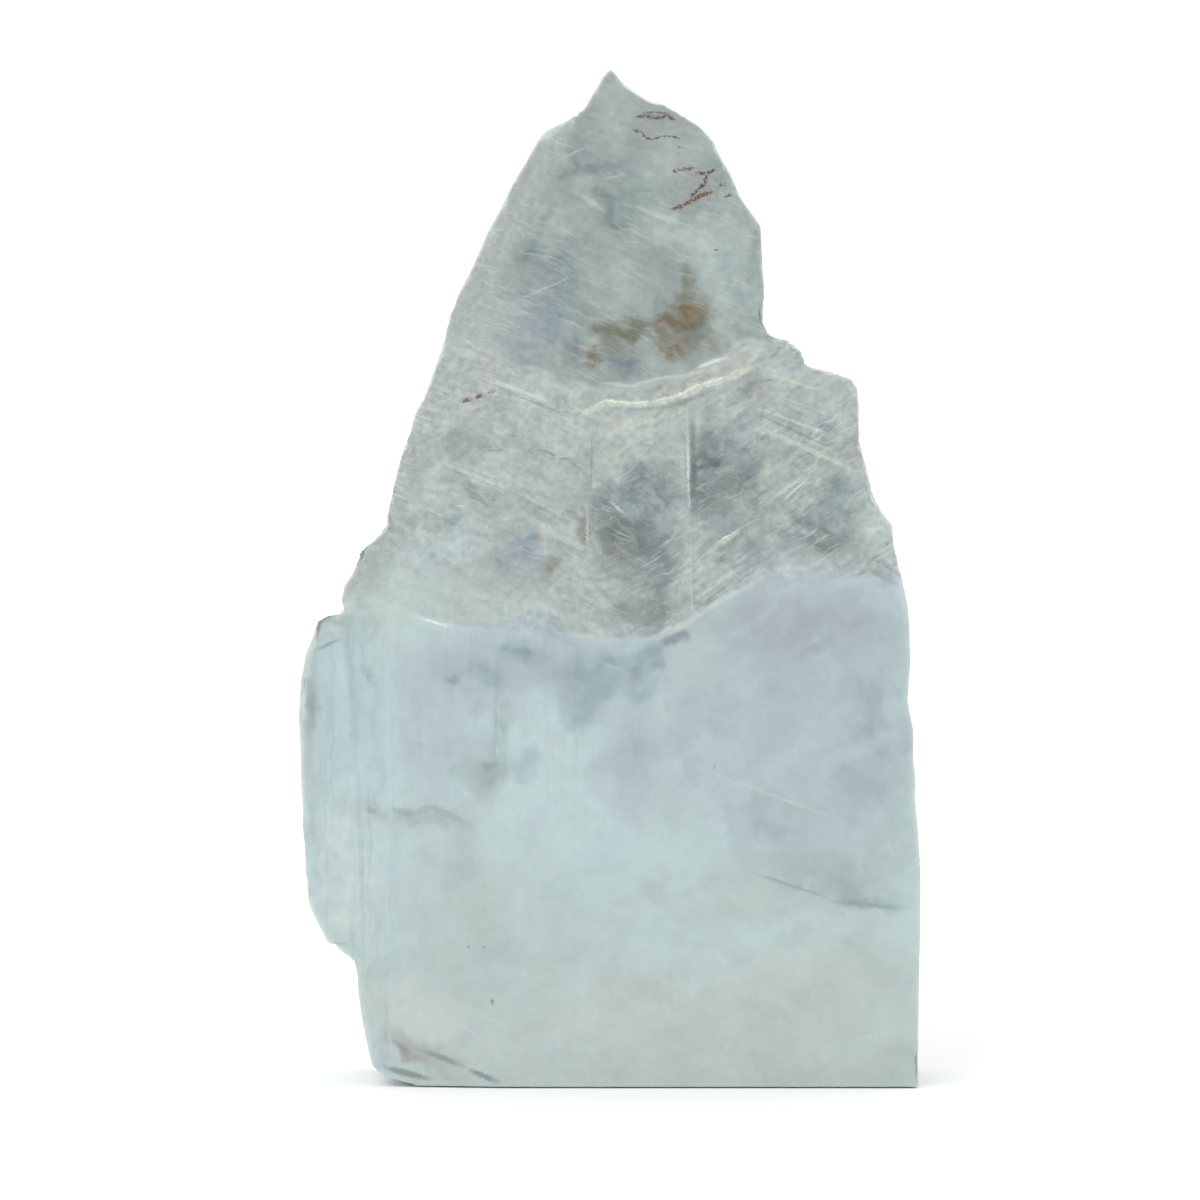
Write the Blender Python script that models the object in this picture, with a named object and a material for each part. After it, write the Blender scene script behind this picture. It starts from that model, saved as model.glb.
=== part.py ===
"""A slab of selenite, the clear sheeted form of gypsum, that stands on its sawn base.

Run it with: blender --background --python part.py

Metres, +Z up. The broad show face looks along -Y, and the origin is the middle of the base. Plan shapes
are drawn on that face as (x, z) in millimetres. The crystal is a book of thin sheets parallel to the
face, and it has broken away in steps towards its tip, so it is thickest at the base.
"""

import math

import bmesh
import bpy
from mathutils import Matrix, Vector, noise

MM = 0.001

# Driving dimensions, in millimetres.
THICKNESS = 26.0
HALF = THICKNESS / 2
FAR = 70.0
TOP = 190.0
CLEARANCE = 2.0

# The sheets of the crystal, whose edges are worn back by up to RIM_WEAR. Each sheet begins SHEET_STEP
# behind the last one's end. Directions along the rim are evened over EVEN_REACH, and the rim moves level
# near the base, below LEVEL_BELOW.
SHEET_COUNT = 9
SHEET_VARIATION = 0.45
SHEET_STEP = 0.45
RIM_WEAR = 1.2
RIM_WEAR_PITCH = 9.0
EVEN_REACH = 9.0
LEVEL_BELOW = 12.0

# The crystal's plan outline: up the right side, over the tip and down the left side to the base.
RIGHT_EDGE = [
    (54.0, 0.0), (54.4, 10.0), (54.5, 34.9), (54.7, 38.1), (53.9, 44.5), (53.5, 55.0), (53.3, 62.1),
    (52.3, 67.4), (52.8, 73.5), (52.4, 82.3), (51.4, 88.6), (50.2, 95.0), (49.7, 99.6), (47.6, 102.4),
    (46.4, 104.8), (45.4, 109.8), (44.4, 113.6), (43.9, 120.7), (43.5, 123.6), (42.5, 125.4),
    (38.6, 126.7), (34.6, 127.8), (33.6, 130.2), (31.4, 132.2), (28.2, 133.2),
]
TIP_EDGE = [
    (27.0, 134.0), (27.4, 139.3), (27.5, 146.0), (26.8, 151.4), (23.6, 156.8), (21.6, 160.5),
    (19.8, 164.3), (18.5, 167.4), (15.8, 170.2), (12.7, 172.2), (9.4, 173.9), (6.6, 174.5),
    (4.2, 176.2), (2.5, 177.2), (1.1, 179.1), (0.2, 180.0), (-0.8, 179.4), (-2.2, 177.3),
    (-4.6, 173.7), (-6.6, 171.2), (-9.6, 170.4), (-11.6, 169.4),
]
LEFT_EDGE = [
    (-13.3, 167.0), (-15.2, 163.8), (-17.4, 159.6), (-19.4, 155.3), (-21.7, 151.0), (-23.1, 147.8),
    (-24.9, 143.7), (-26.9, 140.0), (-28.8, 135.6), (-29.8, 131.0), (-31.0, 127.2), (-33.6, 121.0),
    (-35.1, 118.0), (-36.2, 113.8), (-37.4, 109.6), (-38.3, 106.0), (-39.4, 102.3), (-39.7, 99.8),
    (-41.8, 97.0), (-44.2, 94.8), (-45.0, 91.8), (-46.8, 88.8), (-47.3, 86.2), (-46.9, 84.2),
    (-49.6, 83.6), (-51.4, 82.6), (-52.3, 80.0), (-53.6, 76.8), (-54.3, 72.0), (-54.7, 65.3),
    (-54.5, 56.1), (-54.2, 45.5), (-53.6, 36.6), (-53.0, 31.6), (-51.8, 28.8), (-50.0, 25.2),
    (-46.9, 23.0), (-44.6, 21.8), (-44.3, 17.6), (-43.6, 12.0), (-42.7, 6.4), (-41.9, 3.4),
    (-40.2, 1.7), (-37.0, 0.8), (-33.6, 0.0),
]

# Where the rim slopes away from a face: (side, lowest z, highest z, width of the slope, its depth).
# A side is the sign of x, and the slope fades in and out over FADE.
FRONT_FLANKS = [(-1, 100.0, 168.0, 6.4, 7.0), (1, 134.0, 172.0, 2.6, 4.0), (1, 84.0, 126.0, 1.6, 3.0),
                (-1, 24.0, 82.0, 1.4, 2.4), (1, 4.0, 80.0, 0.8, 1.2)]
BACK_FLANKS = [(-1, 84.0, 130.0, 3.0, 4.5), (1, 96.0, 168.0, 4.6, 5.5), (1, 14.0, 60.0, 2.2, 3.0),
               (-1, 26.0, 80.0, 2.0, 3.4)]
FADE = 9.0
# The slopes start deeper where the upper crystal is thinner: from this height, over this rise.
THIN_FROM = 100.0
THIN_OVER = 40.0

# Lines along which the front sheets have broken off, from left to right, and how deep each break goes.
BASE_SHEET_TOP = [
    (-FAR, 83.0), (-46.5, 83.6), (-40.7, 83.9), (-33.6, 82.7), (-28.3, 81.4), (-17.2, 79.6),
    (-5.3, 79.1), (4.1, 78.2), (8.8, 79.1), (14.2, 81.8), (19.5, 85.3), (26.5, 88.9), (33.6, 89.4),
    (43.0, 89.7), (FAR, 88.6),
]
LOWER_RIDGE = [
    (-FAR, 133.0), (-34.0, 128.6), (-24.2, 126.4), (-15.5, 122.8), (-6.5, 119.3), (-1.8, 120.9),
    (4.5, 120.6), (11.2, 121.1), (17.2, 122.8), (20.0, 124.6), (24.2, 126.9), (27.6, 131.2),
    (28.4, 134.2), (FAR, 135.0),
]
UPPER_RIDGE = [
    (-FAR, 141.0), (-33.0, 134.5), (-22.0, 130.5), (-9.0, 124.4), (-2.0, 124.0), (5.3, 123.4),
    (12.6, 125.9), (20.0, 129.1), (25.4, 131.9), (26.6, 135.4), (FAR, 137.0),
]
BASE_SHEET_BREAK = 2.6
LOWER_RIDGE_BREAK = 4.0
UPPER_RIDGE_BREAK = 5.4
TIP_TILT = 3.0
BREAK_SLOPE = 0.7
WINDOW_SLOPE = 0.1

# Broken edges are toothed, because a sheet tears along its slanting cleavage, but upright ones are clean.
TOOTH_PITCH = 3.6
TOOTH_REACH = 0.9
UPRIGHT = 2.5

# Shallow cleavage windows inside the middle of the front: outline and depth below the face.
FRONT_WINDOWS = {
    "window_right": ([(13.9, 119.6), (14.5, 82.6), (20.0, 86.4), (27.5, 91.5), (37.0, 99.0), (50.5, 104.0),
                      (48.0, 107.2), (24.6, 117.6), (19.0, 121.4)], 3.8),
    "window_left": ([(-3.5, 117.0), (-3.5, 95.0), (-0.5, 88.5), (5.0, 84.0), (10.0, 81.6), (13.4, 83.6),
                     (13.5, 114.5), (5.0, 112.0)], 3.5),
    "window_low_left": ([(-52.0, 101.0), (-32.0, 110.8), (-17.7, 105.6), (-4.0, 98.4), (-1.5, 88.0),
                         (-14.0, 84.0), (-30.0, 87.5), (-52.0, 89.0)], 3.3),
    "feather_right": ([(17.6, 91.0), (21.5, 90.4), (31.0, 98.2), (38.5, 102.6), (35.5, 104.4),
                       (25.5, 99.4)], 4.8),
    "feather_left": ([(-17.5, 111.6), (-4.5, 107.8), (-5.0, 104.6), (-12.0, 106.2), (-24.0, 110.6)], 4.3),
    "dark_pane": ([(1.5, 108.0), (1.5, 96.0), (8.0, 92.0), (8.3, 106.0)], 4.3),
    "left_column": ([(-FAR, 18.0), (-45.0, 18.0), (-44.8, 86.0), (-FAR, 86.0)], 0.8),
}
# Thin laminae that step down across the right shoulder: each line's two ends, and its depth. Each is
# this wide at its far and its near end.
SHOULDER_LAMINAE = [((23.4, 124.6), (47.0, 113.2), 2.85), ((23.2, 121.8), (47.0, 110.5), 3.1),
                    ((22.6, 118.4), (47.0, 108.2), 3.4)]
LAMINA_FAR_WIDTH = 12.0
LAMINA_NEAR_WIDTH = 5.0

# The same on the hidden face. A break has a line, a depth and a tilt that deepens it towards the tip.
BACK_BREAKS = {
    "back_middle_break": ([(-FAR, 108.0), (-31.0, 97.0), (-12.0, 92.5), (-3.0, 84.0), (16.0, 79.0),
                           (30.0, 68.5), (FAR, 60.0)], 2.2, 0.0),
    "back_tip_break": ([(-FAR, 138.0), (-25.0, 131.5), (-8.0, 133.0), (3.0, 126.0), (17.0, 121.5),
                        (27.0, 112.0), (FAR, 106.0)], 4.4, 2.0),
}
BACK_WINDOWS = {
    "back_window": ([(-38.0, 96.0), (-37.5, 62.0), (-20.0, 54.5), (-6.0, 60.0), (-5.5, 89.0)], 1.1),
    "back_lamina": ([(FAR, 52.0), (24.0, 62.0), (23.5, 30.0), (FAR, 18.0)], 0.7),
    "back_upper_window": ([(-20.0, 118.0), (-19.5, 101.0), (2.0, 95.0), (12.0, 104.0), (11.5, 114.0)], 3.1),
}

# Planes that take off a corner: a point on the plane, the way out of the crystal, and the plane's size.
CHIPS = {
    "foot_chip_low": ((-31.0, -HALF, 3.2), (-0.22, -0.62, -0.75), 60.0),
    "foot_chip_high": ((-40.6, -HALF, 7.6), (-0.86, -0.46, -0.22), 36.0),
    "tip_front": ((4.0, -HALF + 7.6, 162.0), (0.16, -0.95, 0.26), 60.0),
    "tip_left": ((-6.0, -HALF + 7.4, 170.0), (-0.62, -0.74, 0.27), 30.0),
    "tip_right": ((8.0, -HALF + 7.4, 171.4), (0.38, -0.66, 0.64), 24.0),
    "tip_back": ((1.0, HALF - 6.6, 167.0), (-0.12, 0.93, 0.34), 60.0),
    "shoulder_chip": ((39.0, -HALF + 2.6, 126.6), (0.34, -0.62, 0.70), 14.0),
    "waist_chip": ((50.4, -HALF + 0.4, 92.0), (0.74, -0.66, 0.10), 14.0),
    "column_foot": ((-50.0, -HALF + 0.4, 27.0), (-0.55, -0.60, -0.58), 14.0),
    "back_foot_chip": ((50.0, HALF, 5.0), (0.52, 0.66, -0.54), 24.0),
    "back_shoulder_chip": ((37.0, HALF - 2.2, 127.0), (0.30, 0.74, 0.60), 14.0),
}

CRYSTAL_COLOUR = (0.53, 0.61, 0.60, 1.0)
CRYSTAL_ROUGHNESS = 0.32


def collection(name):
    """A new collection in the scene."""
    made = bpy.data.collections.new(name)
    bpy.context.scene.collection.children.link(made)
    return made


def crystal_material():
    """The pale grey-green of cloudy selenite, with a soft pearly shine."""
    material = bpy.data.materials.new("cloudy_selenite")
    material.use_nodes = True
    shader = material.node_tree.nodes["Principled BSDF"]
    shader.inputs["Base Color"].default_value = CRYSTAL_COLOUR
    shader.inputs["Roughness"].default_value = CRYSTAL_ROUGHNESS
    shader.inputs["Metallic"].default_value = 0.0
    return material


def outward_directions(outline, distances):
    """The way out of the crystal at each outline point, evened out so that worn rims never cross."""
    sharp = []
    for i, point in enumerate(outline):
        along = outline[(i + 1) % len(outline)] - outline[i - 1]
        sharp.append(Vector((along.y, -along.x)).normalized())
    even = []
    for point, here in zip(outline, distances):
        total = Vector((0.0, 0.0))
        for normal, there in zip(sharp, distances):
            total += normal * math.exp(-(((there - here) / EVEN_REACH) ** 2))
        # Near the base the rim moves level, which keeps the sawn face whole.
        total.y *= max(0.0, min(1.0, point.y / LEVEL_BELOW))
        even.append(total.normalized())
    return even


def flank_fall(point, y):
    """How far the rim has fallen back at this depth, because it slopes towards the nearer face."""
    flanks, below_face = (FRONT_FLANKS, y + HALF) if y < 0 else (BACK_FLANKS, HALF - y)
    fall = 0.0
    for side, low, high, width, depth in flanks:
        inside = min(point.y - low, high - point.y) / FADE
        share = max(0.0, min(1.0, inside)) if side * point.x > 0 else 0.0
        # The slope starts under the breaks, so that it still shows on the thinner upper crystal.
        start = depth + max(0.0, min(1.0, (point.y - THIN_FROM) / THIN_OVER)) * UPPER_RIDGE_BREAK
        fall += width * share * max(0.0, min(1.0, (start - below_face) / depth))
    return fall


def rim_wear(distance, sheet):
    """How far one sheet's edge is worn back at this distance along the rim."""
    place = Vector((distance / RIM_WEAR_PITCH, sheet * 5.3, 1.7))
    return RIM_WEAR * (0.5 + 0.5 * noise.noise(place))


def sheet_depths():
    """The depths, from front to back, at which one sheet ends and the next begins."""
    shares = []
    for sheet in range(SHEET_COUNT):
        shares.append(1.0 + SHEET_VARIATION * noise.noise(Vector((sheet * 1.9, 0.4, 8.1))))
    depths = [-HALF]
    for share in shares:
        depths.append(depths[-1] + THICKNESS * share / sum(shares))
    return depths


def rim_at(outline, directions, distances, sheet, y):
    """The outline of one sheet at one depth. The longest sheet at each place sets the plan."""
    points = []
    for point, outward, distance in zip(outline, directions, distances):
        wear = [rim_wear(distance, other) for other in range(SHEET_COUNT)]
        back = wear[sheet] - min(wear) + flank_fall(point, y)
        moved = point - outward * back
        points.append(Vector((moved.x, y, moved.y)) * MM)
    return points


def pushed_on(bm, face, points, cap):
    """Extrudes a cap and moves the new one to these points. A cap inside the crystal is removed."""
    extruded = bmesh.ops.extrude_face_region(bm, geom=[face])["geom"]
    if not cap:
        bmesh.ops.delete(bm, geom=[face], context="FACES_ONLY")
    face = next(item for item in extruded if isinstance(item, bmesh.types.BMFace))
    for vertex, point in zip(face.verts, points):
        vertex.co = point
    return face


def sheeted_blank():
    """The whole crystal before it broke: a stack of sheets whose edges are worn back unevenly."""
    outline = [Vector(point) for point in RIGHT_EDGE + TIP_EDGE + LEFT_EDGE]
    distances = [0.0]
    for i in range(1, len(outline)):
        distances.append(distances[-1] + (outline[i] - outline[i - 1]).length)
    directions = outward_directions(outline, distances)
    depths = sheet_depths()

    bm = bmesh.new()
    first = rim_at(outline, directions, distances, 0, depths[0])
    face = bm.faces.new([bm.verts.new(point) for point in first])
    for sheet in range(SHEET_COUNT):
        if sheet:
            start = rim_at(outline, directions, distances, sheet, depths[sheet] + SHEET_STEP)
            face = pushed_on(bm, face, start, cap=False)
        end = rim_at(outline, directions, distances, sheet, depths[sheet + 1])
        face = pushed_on(bm, face, end, cap=sheet == 0)
    bmesh.ops.recalc_face_normals(bm, faces=bm.faces)
    bmesh.ops.triangulate(bm, faces=bm.faces)
    return bm


def linked(bm, name, where, material=None):
    """An object made from this bmesh."""
    mesh = bpy.data.meshes.new(name)
    bm.to_mesh(mesh)
    bm.free()
    made = bpy.data.objects.new(name, mesh)
    if material:
        mesh.materials.append(material)
    where.objects.link(made)
    return made


def as_cutter(made):
    """Marks an object as a cutter, which isn't part of the slab."""
    made.hide_render = True
    made.display_type = "WIRE"
    return made


def toothed(line, closed=False):
    """The line with a saw tooth wherever it runs for a pitch, except on its upright stretches."""
    points = []
    stretches = len(line) if closed else len(line) - 1
    for i in range(stretches):
        start = Vector(line[i])
        run = Vector(line[(i + 1) % len(line)]) - start
        points.append(start)
        if abs(run.y) > UPRIGHT * abs(run.x):
            continue
        across = Vector((-run.y, run.x)).normalized()
        teeth = int(run.length / TOOTH_PITCH)
        for k in range(1, teeth):
            vary = noise.noise(Vector((start.x + 1.7 * k, start.y, 0.7)))
            foot = start + run * (k + 0.3 * vary) / teeth
            crest = foot + run * 0.2 / teeth + across * TOOTH_REACH * (0.55 + vary)
            points += [foot, crest]
    if not closed:
        points.append(Vector(line[-1]))
    return points


def recess_cutter(name, outline, depth, facing, where, wall_slope=WINDOW_SLOPE, tilt_deg=0.0):
    """A prism that takes the sheets off one face, down to a depth, inside a plan outline.

    It is pushed in obliquely, so that its lower wall slopes, and a tilt deepens it towards the tip.
    """
    start = facing * (HALF + CLEARANCE)
    travel = depth + CLEARANCE
    bm = bmesh.new()
    mouth = bm.faces.new(
        [bm.verts.new(Vector((x, start, z - wall_slope * CLEARANCE)) * MM) for x, z in outline]
    )
    extruded = bmesh.ops.extrude_face_region(bm, geom=[mouth])["geom"]
    floor = [item for item in extruded if isinstance(item, bmesh.types.BMVert)]
    push = Vector((0.0, -facing * travel, wall_slope * travel)) * MM
    bmesh.ops.translate(bm, verts=floor, vec=push)
    lowest = min(vertex.co.z for vertex in floor)
    for vertex in floor:
        vertex.co.y -= facing * math.tan(math.radians(tilt_deg)) * (vertex.co.z - lowest)
    bmesh.ops.recalc_face_normals(bm, faces=bm.faces)
    return as_cutter(linked(bm, name, where))


def break_cutter(name, line, depth, facing, where, tilt_deg=0.0):
    """A recess that takes everything above a broken line."""
    outline = [*toothed(line), (FAR, TOP), (-FAR, TOP)]
    return recess_cutter(name, outline, depth, facing, where, BREAK_SLOPE, tilt_deg)


def chip_cutter(name, point, outward, size, where):
    """A box whose one side lies on a plane, for a corner that has flaked off."""
    bm = bmesh.new()
    bmesh.ops.create_cube(bm, size=size * MM)
    turn = Vector(outward).to_track_quat("Z", "Y").to_matrix().to_4x4()
    lift = Matrix.Translation(Vector((0.0, 0.0, size / 2)) * MM)
    bmesh.ops.transform(bm, matrix=Matrix.Translation(Vector(point) * MM) @ turn @ lift, verts=bm.verts)
    return as_cutter(linked(bm, name, where))


def shoulder_cutters(where):
    """The thin laminae of the right shoulder, each a little deeper than the last."""
    made = []
    for number, (near, far, depth) in enumerate(SHOULDER_LAMINAE):
        low_far = (far[0], far[1] - LAMINA_FAR_WIDTH)
        low_near = (near[0], near[1] - LAMINA_NEAR_WIDTH)
        outline = [near, far, low_far, low_near]
        made.append(recess_cutter(f"lamina_{number}", outline, depth, -1, where))
    return made


def face_cutters(where):
    """Everything that has broken off the two faces and the corners."""
    made = [
        break_cutter("base_sheet_break", BASE_SHEET_TOP, BASE_SHEET_BREAK, -1, where),
        break_cutter("lower_ridge_break", LOWER_RIDGE, LOWER_RIDGE_BREAK, -1, where),
        break_cutter("upper_ridge_break", UPPER_RIDGE, UPPER_RIDGE_BREAK, -1, where, TIP_TILT),
    ]
    for name, (line, depth, tilt) in BACK_BREAKS.items():
        made.append(break_cutter(name, line, depth, 1, where, tilt))
    for name, (outline, depth) in FRONT_WINDOWS.items():
        made.append(recess_cutter(name, toothed(outline, closed=True), depth, -1, where))
    for name, (outline, depth) in BACK_WINDOWS.items():
        made.append(recess_cutter(name, toothed(outline, closed=True), depth, 1, where))
    made += shoulder_cutters(where)
    for name, (point, outward, size) in CHIPS.items():
        made.append(chip_cutter(name, point, outward, size, where))
    return made


def cut_by(made, cutters):
    """Takes each cutter away from the object."""
    for cutter in cutters:
        modifier = made.modifiers.new(cutter.name, "BOOLEAN")
        modifier.operation = "DIFFERENCE"
        modifier.solver = "EXACT"
        modifier.object = cutter


def main():
    for old in list(bpy.data.objects):
        bpy.data.objects.remove(old)
    slab = linked(sheeted_blank(), "selenite_slab", collection("selenite slab"), crystal_material())
    cut_by(slab, face_cutters(collection("cutters")))


main()
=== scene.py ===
"""The looks of a standing slab of selenite: its torn surface, its cloudy crystal and a plain studio.

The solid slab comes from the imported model. A finer copy of it gets the torn ledges, feathers and worn
rims of the real crystal, and one finish gives it its veils, stains and soft shine. Lengths are in
millimetres, but for the studio's, which are in metres. The broad show face looks along -Y.
"""

from __future__ import annotations

import logging
import math
import sys
from dataclasses import dataclass, field
from enum import Enum

import bmesh
import bpy
import numpy as np
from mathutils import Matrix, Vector


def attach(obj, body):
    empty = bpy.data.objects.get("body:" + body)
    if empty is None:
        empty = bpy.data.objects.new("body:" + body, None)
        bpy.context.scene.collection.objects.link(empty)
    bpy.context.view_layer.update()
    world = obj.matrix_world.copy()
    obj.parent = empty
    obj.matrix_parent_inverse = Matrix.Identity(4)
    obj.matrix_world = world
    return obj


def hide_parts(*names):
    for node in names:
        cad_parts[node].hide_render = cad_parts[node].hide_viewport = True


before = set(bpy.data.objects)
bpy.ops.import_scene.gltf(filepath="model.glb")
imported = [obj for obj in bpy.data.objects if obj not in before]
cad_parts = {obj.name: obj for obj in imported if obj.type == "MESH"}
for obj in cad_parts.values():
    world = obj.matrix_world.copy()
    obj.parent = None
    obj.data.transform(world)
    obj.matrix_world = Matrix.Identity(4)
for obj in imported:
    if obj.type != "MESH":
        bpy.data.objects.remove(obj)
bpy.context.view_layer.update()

log = logging.getLogger("selenite_slab")

MM = 0.001
NODE = "selenite_slab"

# Lines and marks are placed as they look from the middle of the front, on the scale of the slab's
# outline. The show face stands nearer, so it takes them a little smaller, about a place (x, z).
PIVOT = (-2.0, 0.0)
FACE_SCALE = 0.988

# What the shine adds to the look of the crystal in even light, the share left for its body, and the
# darkest level that its body gets.
SHINE = 0.097
BODY_SHARE = 0.85
DARKEST = 0.012

# The middle of patterns that have none of their own, and how far the grain reaches through the slab.
ORIGIN = (0.0, 0.0, 0.0)
GRAIN_THROUGH = 5.0

# Large odd numbers that scatter the cells of the noise, and the bits of their products that are kept.
CELL_FACTORS = (374761393, 668265263, 1274126177)
SEED_FACTOR = 362437
MIXING_FACTOR = 1274126177
KEPT_BITS = 0xFFFFFFFF

Array = np.ndarray
Colour = tuple[float, float, float, float]
Place = tuple[float, float]
Feed = bpy.types.NodeSocket | float | Colour


def screen_colour(red: int, green: int, blue: int) -> Colour:
    """A colour given as it looks on a screen, 0 to 255, in the linear values that shaders take.

    Args:
        red: How much red it has.
        green: How much green.
        blue: How much blue.

    Returns:
        Linear red, green and blue, with an alpha of 1.
    """
    linear = []
    for level in (red, green, blue):
        share = level / 255
        linear.append(share / 12.92 if share <= 0.04045 else ((share + 0.055) / 1.055) ** 2.4)
    return (*linear, 1.0)


def eased(value: Array, low: float, high: float) -> Array:
    """0 below low, 1 above high and an even curve between them.

    Args:
        value: The numbers to ease.
        low: Where the result leaves 0.
        high: Where the result reaches 1. It may be below low, which turns the curve round.

    Returns:
        One number from 0 to 1 for each value.
    """
    share = np.clip((value - low) / (high - low), 0.0, 1.0)
    return share * share * (3.0 - 2.0 * share)


def lattice_noise(points: Array, seed: int) -> Array:
    """Smooth noise from about -1 to 1 that changes over about one unit.

    Args:
        points: One row of three coordinates for each place.
        seed: Picks one of many unlike patterns.

    Returns:
        One number for each place.
    """
    cell = np.floor(points).astype(np.int64)
    part = points - cell
    ease = part * part * part * (part * (part * 6.0 - 15.0) + 10.0)
    total = np.zeros(len(points))
    for corner in np.ndindex(2, 2, 2):
        key = (cell + corner) @ np.array(CELL_FACTORS) + seed * SEED_FACTOR
        key &= KEPT_BITS
        key = ((key ^ (key >> 13)) * MIXING_FACTOR) & KEPT_BITS
        key ^= key >> 16
        slope = np.stack([((key >> shift) & 1023) / 511.5 - 1.0 for shift in (0, 10, 20)], axis=1)
        weight = np.prod(np.where(corner, ease, 1.0 - ease), axis=1)
        total += weight * np.einsum("ij,ij->i", slope, part - corner)
    return 1.5 * total


def terraced(value: Array, rise: float, riser: float = 0.16) -> Array:
    """The value held level in steps, with short slopes between them.

    Args:
        value: The heights to step.
        rise: The height of one step.
        riser: The share of each step that the slope takes.

    Returns:
        The stepped heights.
    """
    steps = value / rise
    whole = np.floor(steps)
    return rise * (whole + eased(steps - whole, 1.0 - riser, 1.0))


class Lean(Enum):
    """The directions in the broad face along which selenite tears, in degrees up from +X."""

    FALLING = -23.0
    RISING = 32.0
    UPRIGHT = 90.0
    LEFT_FLANK = 66.0


class Zone(Enum):
    """The parts of the show face, each with a surface and a colour of its own."""

    MIDDLE = "the torn middle"
    HAZE = "the milky lower left of the torn middle"
    BAND = "the crumbly band between the two ridges"
    TIP = "the tip"
    LOW = "the smooth base sheet"
    FLANK = "the frosted slope down the left of the tip"
    COLUMN = "the grooved column at the left of the base sheet"


@dataclass(frozen=True)
class Grain:
    """A set of marks drawn out along one direction of the crystal."""

    lean: Lean
    along: float
    across: float
    through: float = 6.0

    def stretched(self, points: Array) -> Array:
        """The places in units of one mark: along it, through the slab and across it.

        Args:
            points: One row of three coordinates for each place.

        Returns:
            One row of three numbers for each place.
        """
        turn = math.radians(self.lean.value)
        along = points[:, 0] * math.cos(turn) + points[:, 2] * math.sin(turn)
        across = points[:, 2] * math.cos(turn) - points[:, 0] * math.sin(turn)
        return np.stack([along / self.along, points[:, 1] / self.through, across / self.across], axis=1)

    def marks(self, points: Array, seed: int) -> Array:
        """Noise from -1 to 1, drawn out along the grain, with finer marks at half the strength."""
        places = self.stretched(points)
        return (lattice_noise(places, seed) + 0.5 * lattice_noise(places * 2.1, seed + 7)) / 1.5


@dataclass(frozen=True)
class BrokenLine:
    """A line across the broad face along which sheets have broken off, as corners (x, z)."""

    corners: tuple[Place, ...]

    def above(self, points: Array) -> Array:
        """How far each place is above the line."""
        xs, zs = zip(*self.corners)
        return points[:, 2] - np.interp(points[:, 0], xs, zs)


BASE_SHEET_TOP = BrokenLine((
    (-46.5, 83.6), (-40.7, 83.9), (-33.6, 82.7), (-28.3, 81.4), (-17.2, 79.6), (-5.3, 79.1), (4.1, 78.2),
    (8.8, 79.1), (14.2, 81.8), (19.5, 85.3), (26.5, 88.9), (33.6, 89.4), (43.0, 89.7), (60.0, 88.6),
))
LOWER_RIDGE = BrokenLine((
    (-60.0, 131.0), (-34.0, 128.6), (-24.2, 126.4), (-15.5, 122.8), (-6.5, 119.3), (-1.8, 120.9),
    (4.5, 120.6), (11.2, 121.1), (17.2, 122.8), (20.0, 124.6), (24.2, 126.9), (27.6, 131.2), (60.0, 135.0),
))
UPPER_RIDGE = BrokenLine((
    (-60.0, 136.0), (-33.0, 134.5), (-22.0, 130.5), (-9.0, 124.4), (-2.0, 124.0), (5.3, 123.4),
    (12.6, 125.9), (20.0, 129.1), (25.4, 131.9), (60.0, 137.0),
))


@dataclass(frozen=True)
class Ledge:
    """One straight break in the face: sheets are gone beside the line, and come back over its reach."""

    start: Place
    end: Place
    drop: float
    reach: float

    def depth(self, points: Array) -> Array:
        """How deep the face is at each place, in millimetres below where it was.

        Args:
            points: One row of three coordinates for each place.

        Returns:
            Depths, deepest beside the line. A positive reach goes to the line's left, as it runs.
        """
        first = np.array(self.start)
        run = np.array(self.end) - first
        length = float(np.hypot(*run))
        run = run / length
        place = points[:, (0, 2)] - first
        along = place @ run
        beside = (run[0] * place[:, 1] - run[1] * place[:, 0]) * math.copysign(1.0, self.reach)
        taper = eased(along, 0.0, 0.12 * length) * eased(along, length, 0.8 * length)
        return self.drop * taper * eased(beside, -0.12, 0.12) * (1.0 - eased(beside, 0.3, abs(self.reach)))


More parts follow.
